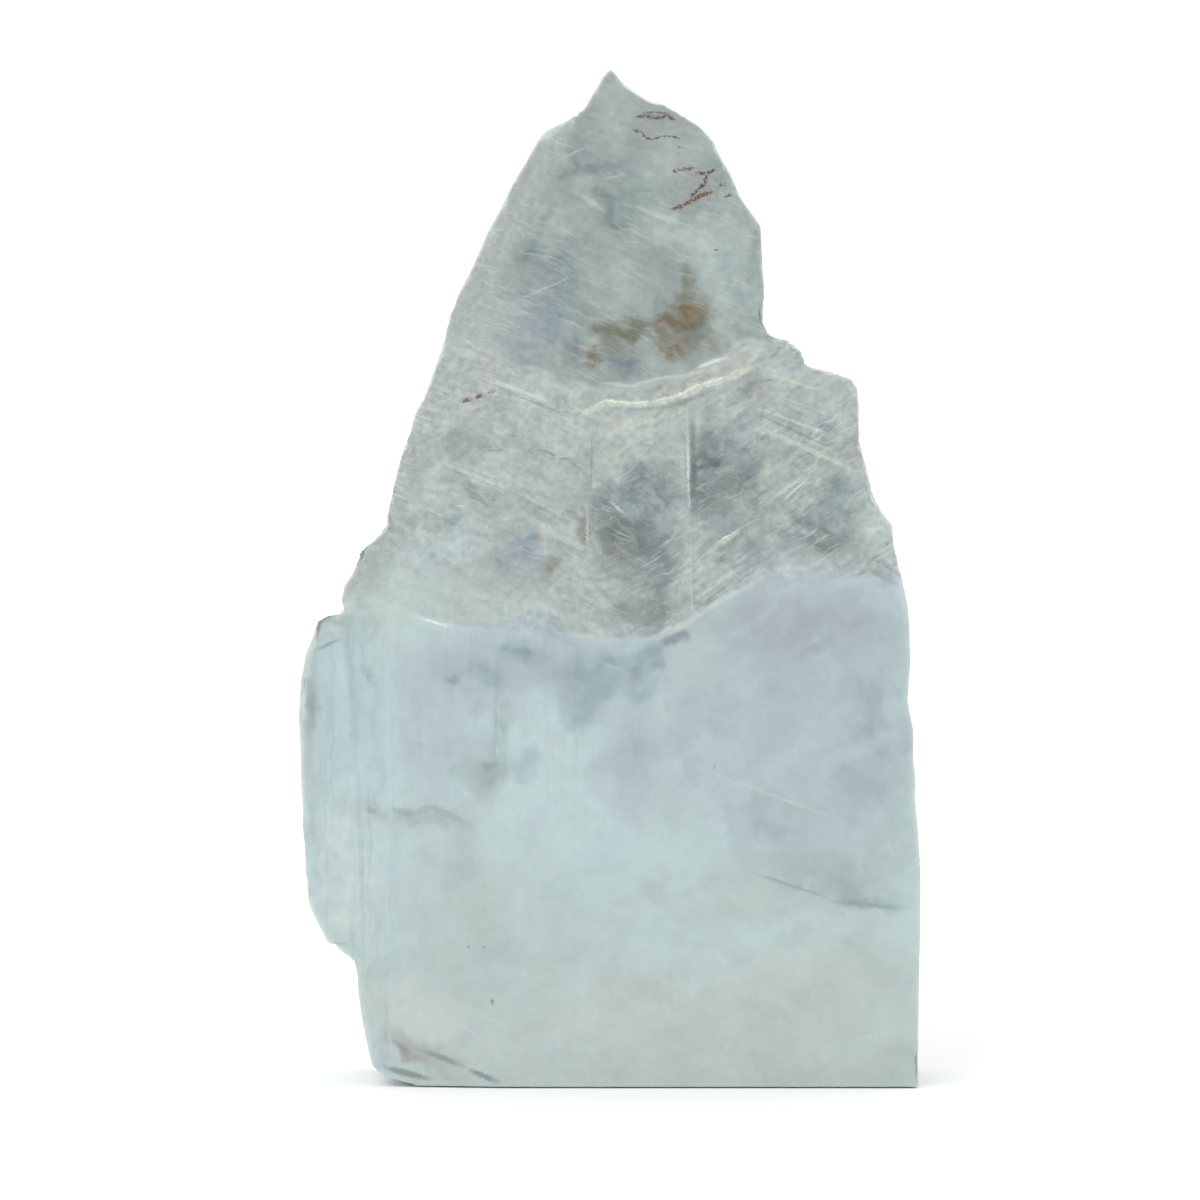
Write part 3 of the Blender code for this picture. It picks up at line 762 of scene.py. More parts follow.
# Broad clouds that reach through the slab, each laid over the ones before it.
CLOUDS = cloud_rows(
    (Tint.CHALK, 14, 8, 62, 22, 0, 0.8, 0.2), (Tint.MILK, 26, 24.5, 24, 8, 6, 0.9, 0.3),
    (Tint.CHALK, 34, 20, 26, 9, 6, 0.5, 0.2), (Tint.MILK, 18, 22, 20, 3, 38, 0.3),
    (Tint.LAVENDER, 34, 63, 38, 33, 92, 0.9), (Tint.LAVENDER, 6, 62, 22, 12, 110, 0.5),
    (Tint.SEA_GREY, 47, 60, 34, 12, 90, 0.22), (Tint.VIOLET, 34, 82, 26, 10, -2, 0.75, 0.2),
    (Tint.VIOLET, 4, 56, 14, 9, 70, 0.32), (Tint.LAVENDER, -16, 74, 34, 11, 2, 0.95, 0.3),
    (Tint.LAVENDER, -31, 62, 22, 10, 90, 0.6, 0.2), (Tint.MILK, -9, 46, 17, 8.5, 76, 0.85),
    (Tint.PALE_BLUE, -2, 38, 13, 7, 40, 0.35), (Tint.PALE_BLUE, -46.5, 64, 24, 8, 90, 0.8, 0.5),
    (Tint.MILK, -46.5, 40, 24, 9, 90, 1, 0.5), (Tint.CHALK, -46, 30, 12, 7, 90, 0.3, 0.2),
    # The white cloud at the foot of the grooved column is painted light that brightens it where its grooves
    # shade it.
    (Tint.GLEAM, -47, 38, 18, 8, 90, 0.22, 0.3), (Tint.VIOLET, 17, 66, 16, 8, 70, 0.22),
    (Tint.VIOLET, 9, 36, 5.6, 4, 80, 0.35), (Tint.VIOLET, 0, 57, 7, 4, 60, 0.3),
    (Tint.VIOLET, 26, 78, 13, 5, 100, 0.2), (Tint.SEA_GREY, 27, 47, 14, 6, -24, 0.15),
    (Tint.SEA_GREY, 6, 26, 24, 7, 18, 0.1), (Tint.BLUE_GREY, 0, 73.6, 17, 8, 14, 0.55),
    (Tint.BLUE_GREY, -4.6, 66.8, 6.8, 4.8, 40, 0.55), (Tint.SLATE, -4.2, 66, 2.6, 1.8, 40, 0.25),
    (Tint.BLUE_GREY, 6, 70.4, 9, 1.8, 22, 0.35), (Tint.SLATE, 11.6, 79.6, 3.2, 1.6, 30, 0.8),
    (Tint.BLUE_GREY, 5.8, 76.4, 7.5, 1.8, 26, 0.5), (Tint.SLATE, 9.4, 74.6, 3, 1.7, -50, 0.5),
    (Tint.SLATE, 4.2, 73.6, 2, 1.3, 40, 0.4), (Tint.BLUE_GREY, -9, 78.8, 6, 1.6, 14, 0.45),
    (Tint.BLUE_GREY, -17, 77, 7, 3.8, -20, 0.6), (Tint.SLATE, -15.2, 76.8, 2.8, 1.7, 10, 0.55),
    (Tint.SLATE, -18.6, 77.4, 2.2, 1.2, -30, 0.4), (Tint.BLUE_GREY, -28.6, 71.8, 4.6, 1.9, 4, 0.6),
    (Tint.SLATE, -28.6, 71.6, 1.8, 0.9, 30, 0.5), (Tint.BLUE_GREY, -22, 73, 6, 4, -20, 0.6),
    (Tint.SEA_GREY, -19.6, 66, 9, 3.6, 80, 0.3), (Tint.SEA_GREY, -22.4, 56, 7.8, 5.6, 62, 0.55),
    (Tint.SLATE, -22, 58.2, 2.2, 1.6, 30, 0.5), (Tint.BLUE_GREY, -15, 57.6, 5, 4, 40, 0.4),
    (Tint.ROSE_GREY, -24, 44, 14, 5.6, 82, 0.3), (Tint.HAZE, -26, 26, 18, 12, 60, 0.5),
    (Tint.SEA_GREY, -36, 48.6, 16, 2, -4, 0.35), (Tint.SEA_GREY, -42.2, 74.6, 2.6, 1.3, 90, 0.45),
    (Tint.SEA_GREY, 40, 37, 16, 5, -14, 0.35), (Tint.SEA_GREY, 46, 32.4, 9, 2.2, -8, 0.55),
    (Tint.SEA_GREY, -53.6, 68, 13, 2, 87, 0.6), (Tint.SEA_GREY, -48.6, 82.8, 4.6, 1.9, -6, 0.75),
    (Tint.SLATE, -46.6, 83.2, 1.6, 1.2, 0, 0.4), (Tint.CREAM, -36, 12, 19, 10, -34, 0.55, 0.2),
    (Tint.ROSE_GREY, -33, 6, 13, 3.6, -20, 0.5), (Tint.BROWN_GREY, -36, 5, 6, 1.6, -24, 0.5),
    # The torn middle, from left to right.
    (Tint.FROST, -38, 88, 20, 8.5, 12, 0.95, 0.2), (Tint.FROST, -18, 84, 22, 5.6, -4, 0.75, 0.3),
    (Tint.LAVENDER, -31, 94, 12, 7, 10, 0.7), (Tint.LAVENDER, -16, 81, 18, 2.6, -5, 0.7, 0.2),
    (Tint.ROSE_GREY, -24, 114, 14, 8, 10, 0.35), (Tint.BROWN_GREY, -28, 115.4, 5, 3, 50, 0.4),
    (Tint.PLUM, -26, 105.8, 8, 3.6, -22, 0.5), (Tint.PLUM, -22.6, 104.6, 3.2, 2.2, 0, 0.35),
    (Tint.ROSE_GREY, -34, 100.4, 4.4, 2.4, 0, 0.5), (Tint.PALE_BLUE, -30, 96.4, 8, 5, 20, 0.7),
    (Tint.BLUE_GREY, -29, 99.7, 2.6, 2.2, 0, 0.6), (Tint.BLUE_GREY, -31.4, 94.2, 2.6, 2, 0, 0.6),
    (Tint.VIOLET, -16.6, 93, 8.6, 6.4, 40, 0.85), (Tint.BLUE_GREY, -14.8, 96.8, 5, 3.2, 70, 0.8),
    (Tint.SEA_GREY, -13.6, 102.3, 3.2, 2, 86, 0.8), (Tint.BROWN_GREY, -8.6, 100.8, 5, 1.2, 3, 0.5),
    (Tint.BROWN_GREY, -11.6, 92.8, 4.2, 3, 12, 0.75), (Tint.PLUM, -5.2, 98, 4.2, 1.5, 90, 0.6),
    (Tint.SLATE, -3, 108, 9, 1.8, 90, 0.4), (Tint.SLATE, 5.6, 100.6, 13, 9.4, 74, 0.8, 0.5),
    (Tint.SLATE, 3, 104, 7.4, 4.6, 28, 0.7, 0.4), (Tint.SLATE, 10.2, 107, 5.6, 3.4, 70, 0.6, 0.4),
    (Tint.CREAM, 1.6, 111.6, 8, 2.6, 26, 0.5), (Tint.PLUM, 2.6, 97.8, 8.6, 5, -8, 0.9, 0.4),
    (Tint.DEEP_SLATE, 0.6, 98.2, 4.6, 2.6, -10, 0.6, 0.2), (Tint.DEEP_SLATE, 6, 97.4, 3, 1.9, -6, 0.3, 0.2),
    (Tint.BROWN_GREY, -5.6, 97.6, 4.2, 1.4, 90, 0.6, 0.4), (Tint.SLATE, 7, 89, 11, 7.4, 84, 0.7, 0.4),
    (Tint.SLATE, 9.4, 91, 5.6, 3.4, 88, 0.3), (Tint.PLUM, 5.2, 84.6, 8.4, 5.4, 8, 0.65, 0.2),
    (Tint.SLATE, 20.6, 107.6, 12, 7.6, 66, 0.75, 0.4), (Tint.DEEP_SLATE, 16.6, 112, 8.4, 3.4, 88, 0.85, 0.5),
    (Tint.DEEP_SLATE, 16.4, 104, 5.6, 2.6, 80, 0.5, 0.2), (Tint.PLUM, 19.6, 103.4, 6.4, 4.6, 50, 0.65, 0.2),
    (Tint.BROWN_GREY, 25, 106.6, 8, 4, 12, 0.3), (Tint.ROSE_GREY, 30, 111, 9, 5, -20, 0.4),
    (Tint.SEA_GREY, 37.4, 103.6, 9.6, 7, 24, 0.85, 0.4), (Tint.SLATE, 38.6, 104.4, 6, 4.4, 40, 0.6, 0.3),
    (Tint.SLATE, 34.4, 99, 7.4, 3.2, 34, 0.65, 0.2), (Tint.SLATE, 42.6, 99.6, 5, 2.6, 100, 0.5, 0.2),
    (Tint.SEA_GREY, 38.4, 95.6, 9, 6.4, 84, 0.5, 0.2), (Tint.SLATE, 33, 95, 12, 6, 20, 0.35),
    (Tint.SLATE, 25.4, 93, 5.4, 3.8, 26, 0.65), (Tint.SEA_GREY, 31, 91.8, 10, 3.6, 8, 0.5, 0.2),
    (Tint.SLATE, 43, 95, 4.6, 3.2, 90, 0.55), (Tint.SLATE, 46.6, 92.2, 4.4, 2.2, -32, 0.45),
    (Tint.ROSE_GREY, 25, 124, 8, 5, -24, 0.5), (Tint.PLUM, 25.4, 123.6, 4.4, 2.8, -24, 0.45),
    (Tint.SLATE, 25, 118.6, 4, 2.2, 0, 0.45), (Tint.BLUE_GREY, 38.6, 119.4, 5, 2.8, -60, 0.65),
    (Tint.SEA_GREY, 43.6, 110, 12, 3, 97, 0.25), (Tint.HAZE, 47, 101, 13, 4, 109, 0.7, 0.2),
    (Tint.SLATE, 22, 98, 11, 5, 30, 0.4), (Tint.SLATE, 37.6, 100.6, 9, 7, 30, 0.45, 0.3),
    (Tint.LAVENDER, 34, 91.4, 19, 4, 5, 0.8), (Tint.VIOLET, 28, 90, 9, 3, 20, 0.6),
    (Tint.VIOLET, 47, 90.6, 7, 3.4, -20, 0.6), (Tint.HAZE, 6, 122.6, 16, 2.6, 4, 0.55, 0.2),
    # Cream clouds along the ridges: partly their cream colour, partly a painted highlight on their upward
    # steps.
    (Tint.BROWN_GREY, 9, 123.6, 7, 1.3, 8, 0.45), (Tint.CREAM, 18, 126.6, 10, 2.6, 24, 0.6, 0.2),
    (Tint.OLIVE, 18.6, 126.2, 5, 1, 22, 0.3), (Tint.CREAM, 7, 117.6, 14, 3.4, 12, 0.45),
    (Tint.CREAM, 34, 126, 10, 3, -20, 0.4), (Tint.PLUM, 39, 100, 11, 8, 30, 0.22, 0.2),
    (Tint.ROSE_GREY, 12.5, 124, 16, 5, 14, 0.4),
    # The tip, from its foot up.
    (Tint.SLATE, 3.4, 127.6, 7.2, 3.2, -6, 0.95), (Tint.SLATE, -6.8, 131.2, 3.6, 2.8, 80, 0.7),
    (Tint.VIOLET, -15, 134, 12, 7, 70, 0.45), (Tint.ROSE_GREY, -22, 132, 12, 4, 66, 0.35),
    (Tint.SLATE, -11, 131.6, 3.6, 2.2, 60, 0.35), (Tint.OLIVE, 2.4, 133.8, 7.4, 4.6, 14, 0.95, 0.3),
    (Tint.UMBER, 0.6, 134, 4, 2, 10, 0.3), (Tint.PLUM, -3, 131, 6.4, 4, 20, 0.5),
    (Tint.OLIVE, 12.6, 135.4, 9.4, 7.4, 60, 0.9, 0.4), (Tint.OLIVE, 14.6, 141.6, 5.6, 3.4, 84, 0.6, 0.2),
    (Tint.SLATE, 15.2, 143.6, 4.4, 2.6, 70, 0.4), (Tint.SLATE, 8.2, 138.4, 3.8, 2.2, 86, 0.55),
    (Tint.UMBER, 9.8, 134.6, 4, 3.2, 60, 0.6, 0.2), (Tint.UMBER, 12.6, 131.4, 3.4, 2.4, 70, 0.5),
    (Tint.UMBER, 13.6, 137.2, 5.2, 2.4, -14, 0.75, 0.2), (Tint.SEA_GREY, 15, 134.2, 2.6, 1.4, 20, 0.45),
    (Tint.UMBER, -3, 129.8, 2.8, 2.2, 40, 0.7), (Tint.OLIVE, 16.4, 133, 5, 3.8, -20, 0.5, 0.3),
    (Tint.OCHRE, 14.2, 138, 3.4, 1.5, -20, 0.9, 0.4), (Tint.OCHRE, 9.2, 135.4, 2.6, 1.9, 24, 0.65, 0.2),
    (Tint.UMBER, 11.6, 134, 5, 0.7, 90, 0.6, 0.3), (Tint.OCHRE, 12.2, 131.2, 2.2, 1.5, 80, 0.5, 0.2),
    (Tint.OCHRE, 18.8, 131.4, 2.4, 1.3, -30, 0.4, 0.2), (Tint.OCHRE, -3, 130.4, 1.9, 1.3, 60, 0.65, 0.2),
    (Tint.OLIVE, -0.8, 134, 5, 2.6, 6, 0.6, 0.2), (Tint.FROST, 21, 146, 18, 9, 84, 0.55, 0.2),
    (Tint.BLUE_GREY, 23.4, 140.4, 11, 2, 88, 0.5), (Tint.BLUE_GREY, 20.4, 146, 6, 1.4, 84, 0.4),
    (Tint.SEA_GREY, 25.6, 145, 8, 1.2, 90, 0.5), (Tint.BLUE_GREY, 9, 147.6, 5, 3, 84, 0.35),
    (Tint.ROSE_GREY, 0, 141, 9, 4.4, 84, 0.25), (Tint.BLUE_GREY, -10, 142, 12.6, 8.6, 76, 0.5, 0.3),
    (Tint.SLATE, -10, 142, 11, 7, 76, 0.4, 0.2), (Tint.SLATE, -10, 147, 6, 4.2, 60, 0.55),
    (Tint.SEA_GREY, -15.4, 148.4, 6.2, 4, 50, 0.9, 0.2), (Tint.PLUM, -16.4, 147, 5, 1.6, 62, 0.5),
    (Tint.PLUM, -11.6, 155, 9, 1.3, 61, 0.5), (Tint.PLUM, -7.6, 163, 5.6, 1.4, 61, 0.5),
    (Tint.VIOLET, -13, 137, 11, 7, 64, 0.6, 0.2), (Tint.BLUE_GREY, -12, 137, 8, 6, 64, 0.4),
    (Tint.SEA_GREY, -6, 137, 6, 4.6, 60, 0.5), (Tint.ROSE_GREY, -1, 146, 14, 5, 84, 0.5, 0.2),
    (Tint.SEA_GREY, 4.6, 157.4, 7, 5.6, 20, 0.85, 0.3), (Tint.SLATE, -1.6, 157.6, 5.8, 1.7, -62, 0.85, 0.2),
    (Tint.SLATE, 0.8, 154.2, 4.4, 1.8, 2, 0.8, 0.2), (Tint.SLATE, -1.8, 164.4, 8.6, 3, -3, 0.95, 0.2),
    (Tint.SLATE, -5.4, 168, 5.8, 3.6, 50, 0.8, 0.2), (Tint.ROSE_GREY, 1, 168.6, 5, 4, 80, 0.4),
    (Tint.SEA_GREY, 10, 158.4, 6, 3, 20, 0.35), (Tint.HAZE, 12, 168, 10, 7, -40, 0.5),
    (Tint.FROST, 0.5, 173, 9, 6, 80, 0.4), (Tint.FROST, 15, 152, 14, 5, -10, 0.6),
    (Tint.HAZE, 3, 143, 12, 4.6, 86, 0.35), (Tint.PLUM, -14, 137, 10, 6, 64, 0.25, 0.2),
    (Tint.PLUM, -1, 161, 7, 6, 0, 0.2),
)


@dataclass(frozen=True)
class Drift:
    """A tint that comes and goes over one zone of the show face, in marks of this length and width."""

    tint: Tint
    zone: Zone
    size: tuple[float, float]
    most: float
    lean: Lean = Lean.FALLING

    def share(self, places: Array, seed: int) -> Array:
        """How much of the tint shows at each place."""
        return self.most * eased(Grain(self.lean, *self.size).marks(places, seed), 0.0, 0.55)


DRIFTS = (
    Drift(Tint.VIOLET, Zone.LOW, (9.0, 4.6), 0.2, Lean.RISING),
    Drift(Tint.SEA_GREY, Zone.LOW, (10.0, 4.0), 0.12),
    Drift(Tint.MILK, Zone.LOW, (14.0, 5.0), 0.4, Lean.RISING),
    Drift(Tint.HAZE, Zone.LOW, (12.0, 5.0), 0.2),
    Drift(Tint.PALE_BLUE, Zone.COLUMN, (40.0, 2.2), 0.5, Lean.UPRIGHT),
    Drift(Tint.SEA_GREY, Zone.COLUMN, (30.0, 1.6), 0.16, Lean.UPRIGHT),
    Drift(Tint.CREAM, Zone.MIDDLE, (9.0, 3.6), 0.25, Lean.RISING),
    Drift(Tint.ROSE_GREY, Zone.MIDDLE, (9.0, 4.4), 0.35),
    Drift(Tint.SEA_GREY, Zone.MIDDLE, (5.0, 2.4), 0.25),
    Drift(Tint.SLATE, Zone.MIDDLE, (3.0, 1.4), 0.22, Lean.RISING),
    Drift(Tint.FROST, Zone.MIDDLE, (5.0, 1.6), 0.35),
    Drift(Tint.LAVENDER, Zone.MIDDLE, (7.0, 4.0), 0.35, Lean.RISING),
    Drift(Tint.CREAM, Zone.BAND, (5.0, 1.6), 0.6, Lean.RISING),
    Drift(Tint.ROSE_GREY, Zone.BAND, (4.0, 2.0), 0.3),
    Drift(Tint.OLIVE, Zone.BAND, (4.0, 1.4), 0.3, Lean.RISING),
    Drift(Tint.HAZE, Zone.TIP, (8.0, 3.4), 0.35),
    Drift(Tint.BLUE_GREY, Zone.TIP, (5.0, 2.4), 0.25, Lean.RISING),
    Drift(Tint.ROSE_GREY, Zone.TIP, (9.0, 4.0), 0.2),
    Drift(Tint.HAZE, Zone.TIP, (4.0, 1.2), 0.25),
)

# Rust that has crept in along cracks near the show face.
RUST = [
    Veil(Tint.RUST, (28.5, 125.2), (0.5, 0.5), 0.0, 0.7, 0.2),
    Veil(Tint.RUST, (49.2, 96.1), (0.5, 0.5), 0.0, 0.7, 0.2),
    seam(Tint.RUST, (-26.6, 121.5), (-24.4, 122.0), 0.6, 0.9, 0.4, 0.6),
    seam(Tint.RUST, (-24.4, 122.2), (-22.2, 122.6), 0.5, 0.9, 0.4, 0.6),
    seam(Tint.DARK_RUST, (-22.0, 122.9), (-20.2, 123.3), 0.3, 0.7, 0.4, 0.6),
    *chain(Tint.RUST, 0.45, 0.9, (4.8, 173.0), (6.3, 173.5), (7.7, 173.0), (9.1, 173.1), (10.3, 173.6),
           (11.8, 172.6)),
    seam(Tint.OCHRE, (5.6, 173.2), (10.4, 173.2), 0.8, 0.4, 0.2),
    *chain(Tint.DARK_RUST, 0.26, 0.7, (6.0, 173.9), (8.0, 174.1), (10.2, 173.9)),
    *chain(Tint.DARK_RUST, 0.32, 0.75, (4.2, 170.6), (5.8, 170.2), (6.3, 169.3), (7.7, 168.9), (9.4, 169.5),
           (11.1, 169.6), (12.5, 169.2)),
    seam(Tint.DARK_RUST, (12.0, 167.6), (13.0, 167.5), 0.22, 0.6),
    *chain(Tint.RUST, 0.42, 0.9, (11.1, 163.1), (12.8, 163.4), (14.9, 163.8)),
    *chain(Tint.DARK_RUST, 0.46, 0.95, (15.5, 162.9), (17.2, 162.8), (18.8, 163.3)),
    *chain(Tint.DARK_RUST, 0.46, 0.95, (17.3, 162.6), (17.1, 161.0), (15.7, 159.7), (14.6, 158.6)),
    seam(Tint.OCHRE, (17.4, 159.8), (13.4, 156.8), 1.1, 0.5, 0.2),
    *chain(Tint.RUST, 0.52, 0.95, (18.4, 159.4), (16.3, 158.7), (14.9, 157.9), (13.5, 157.0),
           (11.3, 156.2)),
    *chain(Tint.DARK_RUST, 0.42, 0.85, (19.7, 160.6), (20.8, 161.0)),
    *chain(Tint.DARK_RUST, 0.32, 0.8, (20.6, 158.5), (21.8, 158.9)),
    *chain(Tint.DARK_RUST, 0.28, 0.7, (18.5, 148.8), (19.6, 149.0)),
]

# Bright scratches, healed cracks and dark nicks in the show face, with painted glints and painted highlights
# and shade along some of its ledges.
SEAMS = [
    # Along the step at x 14: painted highlights on its edge and on the bevel left of it, and painted shade in
    # the recess right of it.
    seam(Tint.GLEAM, (13.7, 120.4), (14.2, 98.0), 0.24, 0.5, 0.3),
    seam(Tint.CREAM, (14.2, 99.0), (14.7, 80.5), 0.2, 0.5, 0.4),
    seam(Tint.CREAM, (12.6, 117.0), (13.0, 104.0), 0.6, 0.3, 0.2),
    seam(Tint.DEEP_SLATE, (14.7, 119.4), (15.0, 103.0), 0.9, 0.6, 0.3),
    seam(Tint.FROST, (14.7, 80.0), (18.0, 58.0), 0.22, 0.3, 0.4),
    seam(Tint.CREAM, (-4.1, 103.6), (-4.0, 93.8), 0.34, 0.6, 0.3),
    seam(Tint.SLATE, (-3.2, 118.0), (-3.4, 103.0), 0.22, 0.6, 0.4),
    # Painted highlights in white along the ledges of the torn middle.
    seam(Tint.GLEAM, (-24.6, 126.2), (-8.0, 120.6), 0.6, 0.4, 0.2),
    seam(Tint.SLATE, (-19.0, 123.4), (-6.6, 118.6), 0.25, 0.4, 0.3),
    seam(Tint.GLEAM, (-32.0, 111.2), (-17.0, 105.6), 0.5, 0.28, 0.2),
    seam(Tint.CREAM, (-18.0, 106.0), (-4.0, 98.9), 0.3, 0.4, 0.4),
    *chain(Tint.CREAM, 0.8, 0.4, (-20.4, 100.3), (-16.4, 101.7), (-12.6, 99.8), (-9.4, 97.5), (-4.2, 95.2)),
    seam(Tint.GLEAM, (-0.6, 104.3), (2.9, 101.1), 0.4, 0.4, 0.2),
    # Along the thin sheets that step up to the right: pale lines that are partly the sheets' pale edges and
    # partly painted highlights on them.
    seam(Tint.CREAM, (23.6, 121.2), (41.5, 114.8), 0.34, 0.6, 0.4),
    seam(Tint.CREAM, (26.4, 123.8), (40.6, 118.6), 0.24, 0.45, 0.3),
    seam(Tint.FROST, (24.4, 119.0), (42.4, 111.4), 0.3, 0.5, 0.3),
    seam(Tint.CREAM, (25.8, 117.4), (44.0, 109.0), 0.6, 0.6, 0.4),
    seam(Tint.SLATE, (24.4, 120.0), (41.4, 112.4), 0.3, 0.5, 0.4),
    seam(Tint.CREAM, (24.0, 127.4), (40.6, 122.6), 0.4, 0.5, 0.4),
    # Pale lines along the ledges right of the step at x 14, with painted glints on them.
    seam(Tint.CREAM, (27.4, 103.0), (35.8, 109.2), 0.6, 0.6, 0.2),
    seam(Tint.GLEAM, (30.6, 103.6), (35.2, 107.8), 0.3, 0.6, 0.2),
    seam(Tint.CREAM, (16.6, 94.4), (24.6, 99.4), 0.7, 0.65, 0.2),
    seam(Tint.GLEAM, (18.6, 96.2), (23.4, 99.0), 0.25, 0.7, 0.2),
    seam(Tint.CREAM, (14.4, 85.8), (23.6, 92.0), 0.4, 0.6, 0.2),
    seam(Tint.SLATE, (15.2, 84.4), (22.0, 89.6), 0.4, 0.6, 0.2),
    seam(Tint.CREAM, (13.4, 57.2), (43.8, 46.0), 0.34, 0.55, 0.4),
    seam(Tint.VIOLET, (18.4, 57.6), (18.4, 55.8), 0.3, 0.7, 0.3),
    seam(Tint.CREAM, (-2.6, 75.6), (4.0, 72.8), 0.3, 0.4, 0.3),
    seam(Tint.BLUE_GREY, (23.0, 38.6), (41.0, 32.6), 0.45, 0.55, 0.2),
    seam(Tint.BLUE_GREY, (37.0, 33.0), (54.0, 31.4), 0.8, 0.55, 0.2),
    seam(Tint.CREAM, (5.0, 78.4), (14.6, 82.9), 0.28, 0.45, 0.3),
    # Painted glints: on the edge of the base sheet, and a small one in the middle above it.
    seam(Tint.GLEAM, (-34.0, 83.0), (-28.2, 81.3), 0.36, 0.85, 0.3),
    seam(Tint.GLEAM, (-28.0, 102.8), (-25.4, 102.9), 0.2, 0.5, 0.3),
    seam(Tint.BLUE_GREY, (-45.6, 79.0), (-45.0, 52.0), 1.1, 0.2, 0.2),
    seam(Tint.BLUE_GREY, (-44.8, 62.0), (-43.6, 24.0), 0.9, 0.22, 0.2),
    seam(Tint.MILK, (-39.9, 80.0), (-38.6, 34.0), 0.9, 0.5, 0.3),
    seam(Tint.MILK, (-47.6, 77.0), (-47.4, 64.0), 1.6, 0.4, 0.2),
    seam(Tint.SEA_GREY, (-20.2, 76.0), (-20.2, 56.0), 0.5, 0.22, 0.2),
    seam(Tint.CREAM, (-20.6, 67.6), (-16.6, 63.4), 0.5, 0.35, 0.2),
    seam(Tint.SLATE, (-53.0, 77.0), (-46.8, 79.6), 0.5, 0.5, 0.2),
    seam(Tint.CREAM, (-50.4, 81.6), (-46.4, 80.6), 1.0, 0.5, 0.2),
    seam(Tint.CREAM, (-49.6, 62.4), (-44.4, 63.4), 0.3, 0.4, 0.2),
    seam(Tint.SEA_GREY, (-47.4, 62.4), (-44.0, 62.0), 0.3, 0.25, 0.2),
    seam(Tint.SEA_GREY, (-43.6, 49.4), (-41.0, 48.4), 0.9, 0.5, 0.2),
    # A painted glint on the base sheet.
    seam(Tint.GLEAM, (-20.0, 61.4), (-20.0, 57.6), 0.3, 0.35, 0.2),
    *chain(Tint.SEA_GREY, 0.8, 0.35, (-38.4, 49.0), (-34.6, 48.2), (-31.6, 49.6), (-26.6, 47.2)),
    seam(Tint.CREAM, (-32.4, 49.4), (-27.0, 47.6), 0.3, 0.4, 0.2),
    seam(Tint.CREAM, (-36.0, 19.4), (-16.4, 9.4), 0.36, 0.4, 0.3),
    seam(Tint.CREAM, (-34.0, 16.0), (-20.4, 6.8), 0.3, 0.4, 0.3),
    seam(Tint.CREAM, (42.0, 8.2), (54.0, 10.4), 0.3, 0.5, 0.3),
    seam(Tint.SEA_GREY, (-20.9, 15.6), (-20.9, 14.4), 0.4, 0.95, 0.4),
    seam(Tint.SEA_GREY, (-25.4, 24.8), (-24.8, 24.8), 0.3, 0.7, 0.4),
    seam(Tint.SEA_GREY, (-22.6, 24.7), (-22.0, 24.7), 0.3, 0.7, 0.4),
    seam(Tint.OLIVE, (-41.0, 3.4), (-31.0, 1.0), 0.9, 0.6, 0.3),
    seam(Tint.SLATE, (-34.6, 6.8), (-24.8, 3.2), 0.8, 0.6, 0.2),
    seam(Tint.SLATE, (-26.0, 3.4), (-19.0, 0.4), 0.8, 0.75, 0.2),
    seam(Tint.CREAM, (-6.6, 159.6), (-0.4, 155.4), 0.9, 0.45, 0.2),
    seam(Tint.CREAM, (2.0, 157.4), (16.0, 152.4), 0.8, 0.4, 0.2),
    seam(Tint.CREAM, (-9.6, 165.0), (-3.0, 168.0), 0.25, 0.5, 0.3),
    seam(Tint.CREAM, (-2.0, 161.4), (3.4, 162.6), 0.3, 0.5, 0.3),
    # Painted glints at the tip.
    seam(Tint.GLEAM, (6.2, 176.3), (9.4, 175.5), 0.5, 0.85, 0.2),
    seam(Tint.GLEAM, (2.8, 179.0), (6.0, 176.8), 0.5, 0.45, 0.2),
    # Along the lower ridge: cream bands that are partly its cream colour and partly a painted highlight on
    # its upward step, and thin painted highlights on its edge.
    *chain(Tint.CREAM, 0.8, 0.8, (-4.6, 119.4), (-0.7, 121.4), (3.7, 121.0), (7.5, 121.2), (11.9, 122.2),
           (14.6, 123.2)),
    *chain(Tint.CREAM, 1.0, 0.8, (14.0, 122.8), (16.4, 124.5), (20.4, 125.4), (25.0, 127.5)),
    *chain(Tint.CREAM, 0.5, 0.5, (-1.0, 124.8), (3.7, 124.2), (8.9, 125.7), (13.4, 126.1), (16.4, 127.0)),
    seam(Tint.GLEAM, (14.6, 127.2), (21.2, 129.6), 0.5, 0.7, 0.2),
    seam(Tint.GLEAM, (16.0, 124.6), (20.0, 125.6), 0.3, 0.7, 0.2),
    *chain(Tint.GLEAM, 0.25, 0.6, (-2.6, 120.7), (-0.7, 121.7), (3.7, 121.2), (7.5, 121.4), (11.9, 122.5),
           (16.0, 124.6), (20.4, 125.8)),
    *chain(Tint.SLATE, 0.4, 0.35, (4.0, 120.0), (9.0, 120.3), (13.0, 121.2), (18.0, 123.2)),
    seam(Tint.CREAM, (-17.4, 139.4), (-6.0, 144.4), 0.3, 0.4, 0.3),
]


